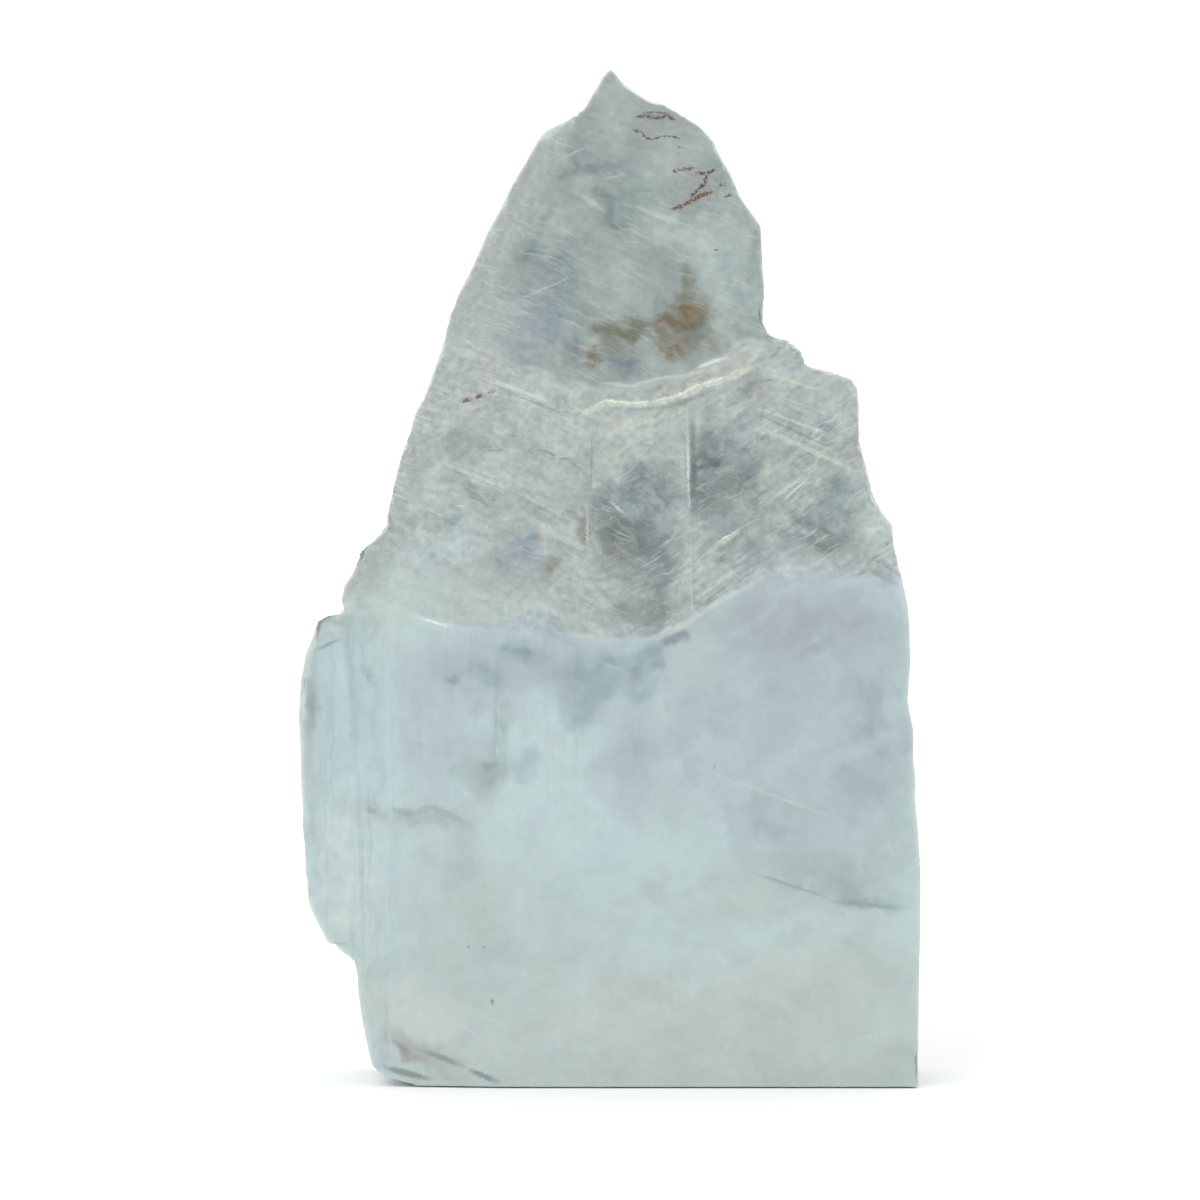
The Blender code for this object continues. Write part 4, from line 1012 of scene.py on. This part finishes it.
@dataclass(frozen=True)
class BodyColour:
    """The cloudy colour of the crystal's body.

    drift is the size of its broadest clouds. wander is how raggedly veils end, as the size and reach of
    each round of it, and patchiness how unevenly they show. The grains are its light and dark streaks.
    """

    drift: float = 28.0
    wander: tuple[tuple[float, float], ...] = ((9.0, 2.0), (4.0, 1.7), (1.8, 1.0), (0.8, 0.45))
    patchiness: float = 0.9
    rising: Grain = Grain(Lean.RISING, 8.0, 1.2)
    falling: Grain = Grain(Lean.FALLING, 11.0, 1.3)
    upright: Grain = Grain(Lean.UPRIGHT, 22.0, 1.5)
    first_drift_seed: int = 110

    def ragged(self, places: Array) -> Array:
        """The places, pushed about at several sizes, so that what is drawn there has ragged edges.

        Args:
            places: One row of three coordinates for each place.

        Returns:
            The moved places.
        """
        moved = places.copy()
        for number, (size, reach) in enumerate(self.wander):
            for axis in (0, 2):
                moved[:, axis] += reach * lattice_noise(places / size, 90 + 3 * number + axis)
        return moved

    def mottle(self, places: Array, zones: dict[Zone, Array]) -> Array:
        """How much lighter or darker than its surroundings each place is, as a share.

        Args:
            places: One row of three coordinates for each place.
            zones: How far each place belongs to each zone of the show face.

        Returns:
            One share for each place.
        """
        bent = places + 1.6 * lattice_noise(places / 7.0, 84)[:, None]
        broad = lattice_noise(bent / (7.0, 12.0, 7.0), 85) + 0.6 * lattice_noise(bent / 3.2, 86)
        fine = lattice_noise(bent / 1.5, 87) + 0.6 * lattice_noise(bent / 0.8, 94)
        rightness = eased(places[:, 0], -6.0, 16.0)
        rising = self.rising.marks(bent, 88)
        falling = self.falling.marks(bent, 89)
        upright = self.upright.marks(bent, 93)
        torn = 0.14 * broad + 0.08 * fine + 0.16 * (rising * rightness + falling * (1.0 - rightness))
        torn *= np.maximum(zones[Zone.MIDDLE], zones[Zone.BAND]) * (1.0 - 0.6 * zones[Zone.HAZE])
        tip = (0.12 * broad + 0.08 * fine + 0.1 * falling + 0.07 * upright) * zones[Zone.TIP]
        total = (torn + tip) * (1.0 - zones[Zone.FLANK])
        total += (0.035 * broad + 0.025 * fine + 0.025 * upright) * zones[Zone.LOW]
        total += (0.04 * broad + 0.08 * fine) * zones[Zone.FLANK]
        return total + 0.05 * upright * zones[Zone.COLUMN]

    def at(self, places: Array, zones: dict[Zone, Array], side: Array, bulge: Array) -> Array:
        """The body colour at each place.

        Args:
            places: One row of three coordinates for each place.
            zones: How far each place belongs to each zone of the show face.
            side: How far each place belongs to the rim.
            bulge: How far each place stands out, from -1 in a crevice to 1 on an edge. Crevices get painted
            shade, and edges are lightened, partly as wear and partly as a painted highlight.

        Returns:
            Linear red, green and blue for each place.
        """
        colour = np.tile(Tint.FROST.base[:3], (len(places), 1))
        colour = laid(colour, Tint.MILK, eased(lattice_noise(places / self.drift, 81), -0.5, 0.5))
        colour = laid(colour, Tint.TORN, np.maximum(zones[Zone.MIDDLE], zones[Zone.BAND]))
        colour = laid(colour, Tint.TIP, zones[Zone.TIP])
        ragged = self.ragged(places)
        patch = lattice_noise(ragged / 4.0, 96) + 0.7 * lattice_noise(ragged / 1.6, 97)
        for veil in CLOUDS:
            share = veil.share(ragged)
            colour = laid(colour, veil.tint, share * (1.0 + self.patchiness * patch * (1.0 - share)))
        for seed, drift in enumerate(DRIFTS, self.first_drift_seed):
            colour = laid(colour, drift.tint, drift.share(ragged, seed) * zones[drift.zone])
        colour = laid(colour, Tint.DRY_GREEN, 0.85 * zones[Zone.FLANK])
        colour = laid(colour, Tint.FROST, 0.8 * side)
        colour = colour * np.exp(self.mottle(places, zones) * (1.0 - 0.6 * side))[:, None]
        # Edges that stand out are lightened, partly as frosted wear and partly as a painted highlight, and
        # crevices get painted shade.
        colour = laid(colour, Tint.CREAM, 0.4 * np.maximum(bulge, 0.0))
        return laid(colour, Tint.SLATE, 0.35 * np.maximum(-bulge, 0.0) * (1.0 - side))


class Recipe:
    """Builds a shader tree one node at a time."""

    def __init__(self, material: bpy.types.Material) -> None:
        """Starts from the plain shader of a material.

        Args:
            material: The material to build the tree in.
        """
        material.use_nodes = True
        self.tree = material.node_tree
        self.shader = self.tree.nodes["Principled BSDF"]

    def node(self, kind: str, inputs: dict, **settings) -> bpy.types.Node:
        """Adds a node.

        Args:
            kind: The node's type name.
            inputs: Its sockets by name or number, each with a value or the socket that feeds it.
            **settings: The node's own settings.

        Returns:
            The new node.
        """
        made = self.tree.nodes.new(kind)
        for name, value in settings.items():
            setattr(made, name, value)
        for name, value in inputs.items():
            self.put(made.inputs[name], value)
        return made

    def put(self, socket: bpy.types.NodeSocket, value: Feed) -> None:
        """Lays a number, a colour or another node's output into a socket.

        Args:
            socket: The socket.
            value: What it gets.
        """
        if isinstance(value, bpy.types.NodeSocket):
            self.tree.links.new(value, socket)
        else:
            socket.default_value = value

    def sum(self, operation: str, first: Feed, second: Feed = 0.0) -> Feed:
        """One step of arithmetic on two numbers."""
        return self.node("ShaderNodeMath", {0: first, 1: second}, operation=operation).outputs[0]

    def eased(self, value: Feed, low: float, high: float, top: float = 1.0) -> Feed:
        """0 where the value is low, and top where it is high, with an even curve between.

        Args:
            value: The number to ease.
            low: Where the result leaves 0.
            high: Where the result reaches its top.
            top: The highest result.

        Returns:
            The eased number.
        """
        inputs = {"Value": value, "From Min": low, "From Max": high, "To Max": top}
        settings = {"interpolation_type": "SMOOTHSTEP", "clamp": False}
        return self.node("ShaderNodeMapRange", inputs, **settings).outputs["Result"]

    def blend(self, share: Feed, under: Feed, over: Feed) -> Feed:
        """One colour laid over another."""
        return self.node("ShaderNodeMix", {0: share, 6: under, 7: over}, data_type="RGBA").outputs[2]

    def noise(self, place: Feed, size: float, detail: float = 2.0) -> bpy.types.Node:
        """Cloudy noise that changes over this many millimetres."""
        return self.node("ShaderNodeTexNoise", {"Vector": place, "Scale": 1.0 / size, "Detail": detail})

    def pushed(self, place: Feed, amount: float, size: float) -> Feed:
        """The places moved about, so that what is drawn there has wandering edges.

        Args:
            place: The places.
            amount: How far they move, in millimetres.
            size: The length over which the way they move changes.

        Returns:
            The moved places.
        """
        wander = self.noise(place, size, 1.0).outputs["Color"]
        inputs = {0: wander, 1: (2.0 * amount,) * 3, 2: place}
        moved = self.node("ShaderNodeVectorMath", inputs, operation="MULTIPLY_ADD").outputs[0]
        return self.node("ShaderNodeVectorMath", {0: moved, 1: (-amount,) * 3}, operation="ADD").outputs[0]

    @staticmethod
    def framed(texture: bpy.types.Node, at: tuple[float, float, float], lean: float,
               size: tuple[float, float, float]) -> None:
        """Draws a texture round a place, along a lean, at this size each way.

        Args:
            texture: The texture.
            at: Its middle.
            lean: Its turn up from +X, in degrees.
            size: Its size along, through and across.
        """
        mapping = texture.texture_mapping
        mapping.vector_type = "TEXTURE"
        mapping.translation = at
        mapping.rotation = (0.0, -math.radians(lean), 0.0)
        mapping.scale = size

    def grain(self, place: Feed, lean: Lean, along: float, across: float) -> Feed:
        """Noise from 0 to 1, drawn out along one direction of the crystal.

        Args:
            place: Where on the crystal, in millimetres.
            lean: The direction.
            along: The length of a mark.
            across: Its width.

        Returns:
            The noise.
        """
        made = self.noise(place, 1.0, 1.0)
        self.framed(made, ORIGIN, lean.value, (along, GRAIN_THROUGH, across))
        return made.outputs["Fac"]

    def veil(self, place: Feed, veil: Veil) -> Feed:
        """How much of a veil shows.

        Args:
            place: Where on the crystal, in millimetres.
            veil: The veil.

        Returns:
            Its share, from 0 to its strength.
        """
        dome = self.node("ShaderNodeTexGradient", {"Vector": place}, gradient_type="SPHERICAL")
        size = (veil.half[0], veil.through, veil.half[1])
        self.framed(dome, (veil.at[0], veil.y, veil.at[1]), veil.lean, size)
        return self.eased(dome.outputs["Fac"], 0.0, 1.0 - veil.core, veil.strength)

    def attribute(self, name: str, output: str = "Fac") -> Feed:
        """A number or colour that the piece's mesh holds."""
        return self.node("ShaderNodeAttribute", {}, attribute_name=name).outputs[output]


class Mask(Enum):
    """The numbers that the mesh holds for its finish, under the names the finish reads them by."""

    TORN = "torn"
    RISING = "rising"
    FALLING = "falling"
    COLUMN = "column"
    FROST = "frost"


@dataclass(frozen=True)
class Fibres:
    """A set of thin fibres that catch the light, where the mesh's mask lets them.

    They begin where the grain's noise passes low, and are full where it reaches high.
    """

    lean: Lean
    along: float
    across: float
    tint: Tint
    low: float
    high: float
    strength: float
    mask: Mask


FIBRES = (
    Fibres(Lean.RISING, 4.5, 0.5, Tint.CREAM, 0.52, 0.74, 0.6, Mask.RISING),
    Fibres(Lean.RISING, 4.0, 0.7, Tint.SLATE, 0.44, 0.26, 0.45, Mask.RISING),
    Fibres(Lean.FALLING, 5.5, 0.45, Tint.CREAM, 0.52, 0.74, 0.5, Mask.FALLING),
    Fibres(Lean.UPRIGHT, 45.0, 0.6, Tint.BLUE_GREY, 0.46, 0.3, 0.14, Mask.COLUMN),
)


@dataclass(frozen=True)
class CloudySelenite:
    """Pale, sheeted gypsum crystal: part see-through, with veils, torn fibres and a pearly shine.

    marks are the seams, rust, painted glints and painted highlights and shade in this stretch of it, crumb is
    the size of the rust's crumbs, and wisps is how much its thin light lines show. It scatters light below
    its surface over scatter_mm.
    """

    name: str = "cloudy_selenite"
    marks: tuple[Veil, ...] = ()
    ior: float = 1.52
    clearness: float = 0.18
    polish: float = 0.3
    scatter: float = 0.6
    scatter_mm: float = 2.5
    wisps: float = 0.2
    wisp_width: float = 0.02
    wisp_tint: Tint = Tint.CREAM
    wisp_size: tuple[float, float, float] = (8.0, 6.0, 1.7)
    crumb: float = 0.45

    def material(self) -> bpy.types.Material:
        """Builds the finish.

        Returns:
            The material.
        """
        material = bpy.data.materials.new(self.name)
        recipe = Recipe(material)
        coordinates = recipe.node("ShaderNodeTexCoord", {}).outputs["Object"]
        scale = (1.0 / (MM * FACE_SCALE), 1.0 / MM, 1.0 / (MM * FACE_SCALE))
        shift = [eye * (1.0 - 1.0 / FACE_SCALE) for eye in PIVOT]
        inputs = {0: coordinates, 1: scale, 2: (shift[0], 0.0, shift[1])}
        place = recipe.node("ShaderNodeVectorMath", inputs, operation="MULTIPLY_ADD").outputs[0]
        fine = recipe.noise(place, 1.1, 3.0).outputs["Fac"]
        torn = recipe.attribute(Mask.TORN.value)

        colour = self.fibred(recipe, place, recipe.attribute("body_tint", "Color"))
        if self.marks:
            colour = self.marked(recipe, place, colour)
        reach = recipe.sum("ADD", recipe.sum("MULTIPLY", torn, 0.5), 0.1)
        speckle = recipe.sum("MULTIPLY", recipe.sum("SUBTRACT", fine, 0.5), reach)
        light = {"Value": recipe.sum("ADD", speckle, 1.0), "Color": colour}
        speckled = recipe.node("ShaderNodeHueSaturation", light)
        recipe.put(recipe.shader.inputs["Base Color"], speckled.outputs[0])
        self.surface(recipe, fine)
        return material

    def fibred(self, recipe: Recipe, place: Feed, colour: Feed) -> Feed:
        """The colour with thin fibres laid over it.

        Args:
            recipe: The finish's shader tree.
            place: Where on the crystal, in millimetres.
            colour: The colour below.

        Returns:
            The new colour.
        """
        bent = recipe.pushed(place, 1.1, 4.0)
        for fibres in FIBRES:
            grain = recipe.grain(bent, fibres.lean, fibres.along, fibres.across)
            share = recipe.eased(grain, fibres.low, fibres.high, fibres.strength)
            share = recipe.sum("MULTIPLY", share, recipe.attribute(fibres.mask.value))
            colour = recipe.blend(share, colour, fibres.tint.base)
        return self.wisped(recipe, bent, colour)

    def wisped(self, recipe: Recipe, place: Feed, colour: Feed) -> Feed:
        """The colour with thin, wandering light lines laid over it, as along the rims of torn flakes.

        Args:
            recipe: The finish's shader tree.
            place: Where on the crystal, in millimetres.
            colour: The colour below.

        Returns:
            The new colour.
        """
        made = recipe.noise(place, 1.0, 1.0)
        recipe.framed(made, ORIGIN, Lean.FALLING.value, self.wisp_size)
        off = recipe.sum("ABSOLUTE", recipe.sum("SUBTRACT", made.outputs["Fac"], 0.5))
        share = recipe.eased(off, self.wisp_width, 0.0, self.wisps)
        share = recipe.sum("MULTIPLY", share, recipe.attribute(Mask.TORN.value))
        return recipe.blend(share, colour, self.wisp_tint.base)

    def marked(self, recipe: Recipe, place: Feed, colour: Feed) -> Feed:
        """The colour with the rust, scratches, nicks and painted highlights and shade laid over it, one tint
        after another.

        Args:
            recipe: The finish's shader tree.
            place: Where on the crystal, in millimetres.
            colour: The colour below.

        Returns:
            The new colour.
        """
        ragged = recipe.pushed(recipe.pushed(place, 0.14, 3.0), 0.34, self.crumb)
        crumbs = recipe.eased(recipe.noise(place, self.crumb).outputs["Fac"], 0.32, 0.52)
        for tint in Tint:
            marks = [mark for mark in self.marks if mark.tint is tint]
            share: Feed = 0.0
            for mark in marks:
                share = recipe.sum("MAXIMUM", recipe.veil(ragged, mark), share)
            if tint in CRUMBLING:
                share = recipe.sum("MULTIPLY", share, crumbs)
            if marks:
                colour = recipe.blend(share, colour, tint.base)
        return colour

    def surface(self, recipe: Recipe, fine: Feed) -> None:
        """The shine and the depth.

        Args:
            recipe: The finish's shader tree.
            fine: Fine noise, from 0 to 1.
        """
        shader = recipe.shader
        shader.inputs["IOR"].default_value = self.ior
        shader.inputs["Subsurface Weight"].default_value = self.scatter
        shader.inputs["Subsurface Radius"].default_value = (1.0, 1.0, 1.0)
        shader.inputs["Subsurface Scale"].default_value = self.scatter_mm * MM
        frost = recipe.attribute(Mask.FROST.value)
        rough = recipe.sum("ADD", recipe.sum("MULTIPLY", frost, 0.22), recipe.sum("MULTIPLY", fine, 0.1))
        recipe.put(shader.inputs["Roughness"], recipe.sum("ADD", rough, self.polish))
        clear = recipe.sum("MULTIPLY", recipe.sum("SUBTRACT", 1.0, frost), self.clearness)
        recipe.put(shader.inputs["Transmission Weight"], clear)


@dataclass
class Crystal:
    """The whole slab as one piece.

    voxel is the cell of its fine mesh, and front_thinning how readily the show face loses triangles, next
    to 1 on the other sides. Its ways of facing are evened out over normal_rounds of its neighbours. Edges
    sharper than crisp_deg stay crisp. The bands are heights (bottom, top). Each has a finish of its own,
    with the marks that reach into it.
    """

    body: str = "root"
    slot: str = "selenite"
    name: str = "cloudy_crystal"
    weld: float = 0.001
    voxel: float = 0.42
    most_triangles: int = 195_000
    level_below: float = 0.35
    normal_rounds: int = 4
    normal_kept: float = 0.4
    crisp_deg: float = 38.0
    front_thinning: float = 0.25
    bulge_scale: float = 0.22
    front: FrontRelief = field(default_factory=FrontRelief)
    back: BackRelief = field(default_factory=BackRelief)
    rim: RimRelief = field(default_factory=RimRelief)
    calm: tuple[CalmFace, ...] = (CalmFace(-1.0, 0.05), CalmFace(1.0, 0.5))
    sags: tuple[Sag, ...] = (
        Sag(((26.8, 133.5), (32.0, 132.0), (35.0, 128.0), (41.0, 126.0), (43.0, 122.0), (47.0, 104.0),
             (51.0, 97.0), (56.0, 80.0)), 1.4),
        Sag(((-60.0, 66.0), (-55.0, 72.0), (-52.0, 81.0), (-49.0, 84.0), (-47.3, 85.0), (-46.5, 89.0),
             (-43.0, 96.0), (-40.0, 99.5), (-37.5, 108.0)), 1.15),
    )
    body_colour: BodyColour = field(default_factory=BodyColour)
    bands: tuple[tuple[float, float], ...] = ((-5.0, 88.0), (88.0, 121.0), (121.0, 185.0))
    mark_margin: float = 1.8

    def build(self) -> bpy.types.Object:
        """Makes the piece.

        Returns:
            The finished slab.
        """
        piece = self.merged_copy()
        self.refined(piece)
        self.torn(piece)
        self.thinned(piece)
        self.levelled(piece)
        piece.data.shade_smooth()
        piece.data.set_sharp_from_angle(angle=math.radians(self.crisp_deg))
        self.marked(piece)
        self.dressed(piece)
        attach(piece, self.body)
        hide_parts(NODE)
        return piece

    def merged_copy(self) -> bpy.types.Object:
        """A copy of the plain solid whose faces share their corners.

        Returns:
            The copy.
        """
        bm = bmesh.new()
        bm.from_mesh(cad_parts[NODE].data)
        bmesh.ops.remove_doubles(bm, verts=bm.verts, dist=self.weld * MM)
        mesh = bpy.data.meshes.new(self.name)
        bm.to_mesh(mesh)
        bm.free()
        piece = bpy.data.objects.new(self.name, mesh)
        bpy.context.scene.collection.objects.link(piece)
        return piece

    @staticmethod
    def settled(piece: bpy.types.Object) -> None:
        """Makes the piece's modifiers part of its mesh.

        Args:
            piece: The slab.
        """
        evaluated = piece.evaluated_get(bpy.context.evaluated_depsgraph_get())
        mesh = bpy.data.meshes.new_from_object(evaluated)
        piece.modifiers.clear()
        old = piece.data
        piece.data = mesh
        bpy.data.meshes.remove(old)

    def refined(self, piece: bpy.types.Object) -> None:
        """Gives the piece an even, fine mesh.

        Args:
            piece: The slab.
        """
        modifier = piece.modifiers.new("fine", "REMESH")
        modifier.mode = "VOXEL"
        modifier.voxel_size = self.voxel * MM
        modifier.adaptivity = 0.0
        self.settled(piece)
        log.info("remeshed: %d polygons", len(piece.data.polygons))

    @staticmethod
    def vertices(piece: bpy.types.Object) -> tuple[Array, Array]:
        """Where each vertex is, in millimetres, and the way it faces.

        Args:
            piece: The slab.

        Returns:
            Two arrays with one row of three numbers for each vertex.
        """
        places = np.empty(len(piece.data.vertices) * 3, np.float32)
        normals = np.empty_like(places)
        piece.data.vertices.foreach_get("co", places)
        piece.data.vertex_normals.foreach_get("vector", normals)
        return places.reshape(-1, 3).astype(float) / MM, normals.reshape(-1, 3).astype(float)

    @staticmethod
    def moved(piece: bpy.types.Object, points: Array) -> None:
        """Puts the vertices at these places, in millimetres."""
        piece.data.vertices.foreach_set("co", (points * MM).astype(np.float32).ravel())
        piece.data.update()

    @staticmethod
    def seen(points: Array) -> Array:
        """The places as they look from the middle of the front, on the outline's scale."""
        middle = np.array((PIVOT[0], 0.0, PIVOT[1]))
        return middle + (points - middle) / (FACE_SCALE, 1.0, FACE_SCALE)

    @staticmethod
    def edge_ends(piece: bpy.types.Object) -> Array:
        """The numbers of the two vertices that each edge joins.

        Args:
            piece: The slab.

        Returns:
            One row of two numbers for each edge.
        """
        ends = np.empty(len(piece.data.edges) * 2, np.int64)
        piece.data.edges.foreach_get("vertices", ends)
        return ends.reshape(-1, 2)

    def shared(self, piece: bpy.types.Object, values: Array) -> Array:
        """The mean of each vertex's neighbours.

        Args:
            piece: The slab.
            values: One number, or one row of them, for each vertex.

        Returns:
            The means, in the same form.
        """
        ends = self.edge_ends(piece)
        total = np.zeros_like(values)
        np.add.at(total, ends[:, 0], values[ends[:, 1]])
        np.add.at(total, ends[:, 1], values[ends[:, 0]])
        counts = np.bincount(ends.ravel(), minlength=len(values))
        return total / counts.reshape(-1, *(1,) * (values.ndim - 1))

    def torn(self, piece: bpy.types.Object) -> None:
        """Calms the plain solid's steps and carves the fine relief into all its faces.

        Args:
            piece: The slab.
        """
        points, out = self.vertices(piece)
        for face in self.calm:
            points = face.pressed(points, out)
        for sag in self.sags:
            points = sag.lowered(points)
        self.moved(piece, points)
        points, out = self.vertices(piece)
        for _ in range(self.normal_rounds):
            out = self.normal_kept * out + (1.0 - self.normal_kept) * self.shared(piece, out)
        front = eased(-out[:, 1], 0.25, 0.75)
        back = eased(out[:, 1], 0.25, 0.75)
        side = (1.0 - eased(np.abs(out[:, 1]), 0.5, 0.9)) * eased(points[:, 2], 0.6, 2.4)
        over_sole = eased(points[:, 2], 0.0, 1.5)
        moved = points.copy()
        moved[:, 1] += front * self.front.depth(self.seen(points)) * over_sole
        moved[:, 1] -= back * self.back.depth(points) * over_sole
        level = out[:, (0, 2)] / np.maximum(np.hypot(out[:, 0], out[:, 2]), 1e-6)[:, None]
        worn = (side * self.rim.depth(points))[:, None] * level
        moved[:, 0] -= worn[:, 0]
        moved[:, 2] -= worn[:, 1] * eased(points[:, 2], 1.0, 6.0)
        self.moved(piece, moved)

    def thinned(self, piece: bpy.types.Object) -> None:
        """Takes triangles away where the surface is plain, most of them on the hidden sides.

        Args:
            piece: The slab.
        """
        _, out = self.vertices(piece)
        group = piece.vertex_groups.new(name="hidden")
        shares = np.where(-out[:, 1] > 0.5, self.front_thinning, 1.0)
        for share in np.unique(shares):
            group.add(np.flatnonzero(shares == share).tolist(), float(share), "REPLACE")
        triangles = sum(len(polygon.vertices) - 2 for polygon in piece.data.polygons)
        modifier = piece.modifiers.new("thin", "DECIMATE")
        modifier.ratio = min(1.0, self.most_triangles / triangles)
        modifier.use_collapse_triangulate = True
        modifier.vertex_group = group.name
        self.settled(piece)
        piece.vertex_groups.clear()
        log.info("thinned: %d triangles", len(piece.data.polygons))

    def levelled(self, piece: bpy.types.Object) -> None:
        """Makes the sole flat on the floor.

        Args:
            piece: The slab.
        """
        points, out = self.vertices(piece)
        sole = (points[:, 2] < self.level_below) & (out[:, 2] < -0.3)
        points[sole, 2] = 0.0
        points[:, 2] = np.maximum(points[:, 2], 0.0)
        self.moved(piece, points)

    def dressed(self, piece: bpy.types.Object) -> None:
        """Gives plain faces the plain finish, and those near marks the finish with that band's marks.

        Args:
            piece: The slab.
        """
        middles = np.empty(len(piece.data.polygons) * 3, np.float32)
        piece.data.polygons.foreach_get("center", middles)
        places = self.seen(middles.reshape(-1, 3).astype(float) / MM)
        slots = np.zeros(len(places), np.int32)
        piece.data.materials.append(CloudySelenite().material())
        for number, (bottom, top) in enumerate(self.bands, 1):
            marks = tuple(mark for mark in SEAMS + RUST if mark.rises_into(bottom, top, self.mark_margin))
            inside = (places[:, 2] > bottom) & (places[:, 2] <= top)
            for mark in marks:
                slots[inside & (mark.reach(places, self.mark_margin) < 1.0)] = number
            piece.data.materials.append(CloudySelenite(f"seamed_selenite_{number}", marks).material())
            log.info("band %d: %d marks on %d faces", number, len(marks), int((slots == number).sum()))
        piece.data.polygons.foreach_set("material_index", slots)

    def bulge(self, piece: bpy.types.Object) -> Array:
        """How far each vertex stands out from its neighbours.

        Args:
            piece: The slab.

        Returns:
            One number for each vertex, from -1 in a crevice to 1 on an edge.
        """
        points, out = self.vertices(piece)
        ends = self.edge_ends(piece)
        lengths = np.linalg.norm(points[ends[:, 0]] - points[ends[:, 1]], axis=1)
        flat = ends.ravel()
        counts = np.bincount(flat, minlength=len(points))
        reach = np.bincount(flat, np.repeat(lengths, 2), len(points)) / counts
        away = points - self.shared(piece, points)
        outward = np.einsum("ij,ij->i", away, out) / np.maximum(reach, 1e-6)
        return np.clip(0.5 * (outward + self.shared(piece, outward)) / self.bulge_scale, -1.0, 1.0)

    def marked(self, piece: bpy.types.Object) -> None:
        """Gives the mesh its body colour and the masks that the finish reads.

        Args:
            piece: The slab.
        """
        points, out = self.vertices(piece)
        places = self.seen(points)
        zones = self.front.zones(places)
        side = 1.0 - eased(np.abs(out[:, 1]), 0.55, 0.9)
        torn = np.maximum(zones[Zone.MIDDLE], zones[Zone.BAND]) * (1.0 - 0.7 * zones[Zone.HAZE])
        streaked = 0.6 * zones[Zone.LOW] * eased(places[:, 2], 42.0, 62.0)
        rightness = eased(places[:, 0], -6.0, 14.0)
        patch = eased(lattice_noise(places / 8.0, 95), -0.35, 0.4)
        masks = {
            Mask.TORN: np.maximum(torn, 0.45 * zones[Zone.TIP]),
            Mask.RISING: torn * (0.15 + 0.85 * rightness) * patch,
            Mask.FALLING: np.maximum(torn * (1.0 - rightness), 0.6 * zones[Zone.TIP]) * (1.0 - 0.8 * patch),
            Mask.COLUMN: np.maximum(zones[Zone.COLUMN], streaked * (1.0 - eased(places[:, 0], 0.0, 20.0))),
            Mask.FROST: np.maximum(0.9 * side, zones[Zone.FLANK] * (places[:, 1] < 0.0)),
        }
        for mask, values in masks.items():
            attribute = piece.data.attributes.new(mask.value, "FLOAT", "POINT")
            attribute.data.foreach_set("value", values.astype(np.float32))
        colours = np.ones((len(points), 4), np.float32)
        colours[:, :3] = self.body_colour.at(places, zones, side, self.bulge(piece))
        attribute = piece.data.attributes.new("body_tint", "FLOAT_COLOR", "POINT")
        attribute.data.foreach_set("color", colours.ravel())


@dataclass(frozen=True)
class Studio:
    """A pale floor, soft light from all round and a level camera with a long lens.

    Lengths are in metres, but for the lens and the sensor, which are in millimetres.
    """

    lens: float = 100.0
    sensor: float = 36.0
    farthest: float = 100.0
    view_width: float = 0.2132
    view_centre: tuple[float, float] = (-0.0018, 0.0851)
    outline_plane: float = -0.0035
    floor_size: float = 30.0
    floor_drop: float = 0.0003
    floor_grey: float = 0.96
    floor_roughness: float = 0.9
    sky: float = 1.1
    key_watts: float = 2.0
    key_size: float = 0.5
    key_place: tuple[float, float, float] = (-0.35, -0.55, 0.75)
    key_target: tuple[float, float, float] = (0.0, 0.0, 0.09)

    def camera(self) -> None:
        """Sets up the camera, so that the plane of the outline is seen view_width wide."""
        scene = bpy.context.scene
        data = bpy.data.cameras.new("camera")
        data.lens = self.lens
        data.sensor_width = self.sensor
        data.clip_end = self.farthest
        camera = bpy.data.objects.new("camera", data)
        distance = self.view_width * self.lens / self.sensor
        camera.location = (self.view_centre[0], self.outline_plane - distance, self.view_centre[1])
        camera.rotation_euler = (math.radians(90.0), 0.0, 0.0)
        scene.collection.objects.link(camera)
        scene.camera = camera

    def light(self) -> None:
        """Fills the room with even light, with a little more from the upper left."""
        scene = bpy.context.scene
        scene.view_settings.view_transform = "Standard"
        world = bpy.data.worlds.new("even_light")
        world.use_nodes = True
        backdrop = world.node_tree.nodes["Background"]
        backdrop.inputs["Color"].default_value = (1.0, 1.0, 1.0, 1.0)
        backdrop.inputs["Strength"].default_value = self.sky
        scene.world = world
        data = bpy.data.lights.new("key", "AREA")
        data.energy = self.key_watts
        data.size = self.key_size
        key = bpy.data.objects.new("key", data)
        key.location = self.key_place
        towards = Vector(self.key_target) - Vector(self.key_place)
        key.rotation_euler = towards.to_track_quat("-Z", "Y").to_euler()
        scene.collection.objects.link(key)

    def floor(self) -> None:
        """Lays the floor just under the slab."""
        bm = bmesh.new()
        bmesh.ops.create_grid(bm, x_segments=1, y_segments=1, size=self.floor_size / 2)
        bmesh.ops.translate(bm, verts=bm.verts, vec=(0.0, 0.0, -self.floor_drop))
        mesh = bpy.data.meshes.new("floor")
        bm.to_mesh(mesh)
        bm.free()
        floor = bpy.data.objects.new("floor", mesh)
        bpy.context.scene.collection.objects.link(floor)
        paint = bpy.data.materials.new("pale_floor")
        paint.use_nodes = True
        shader = paint.node_tree.nodes["Principled BSDF"]
        shader.inputs["Base Color"].default_value = (*(self.floor_grey,) * 3, 1.0)
        shader.inputs["Roughness"].default_value = self.floor_roughness
        mesh.materials.append(paint)


def main() -> None:
    """Builds the camera, the light, the slab and the floor."""
    logging.basicConfig(level=logging.INFO, format="%(message)s", stream=sys.stderr)
    studio = Studio()
    studio.camera()
    studio.light()
    piece = Crystal().build()
    log.info("%s: %d faces", piece.name, len(piece.data.polygons))
    studio.floor()


if __name__ == "__main__":
    main()
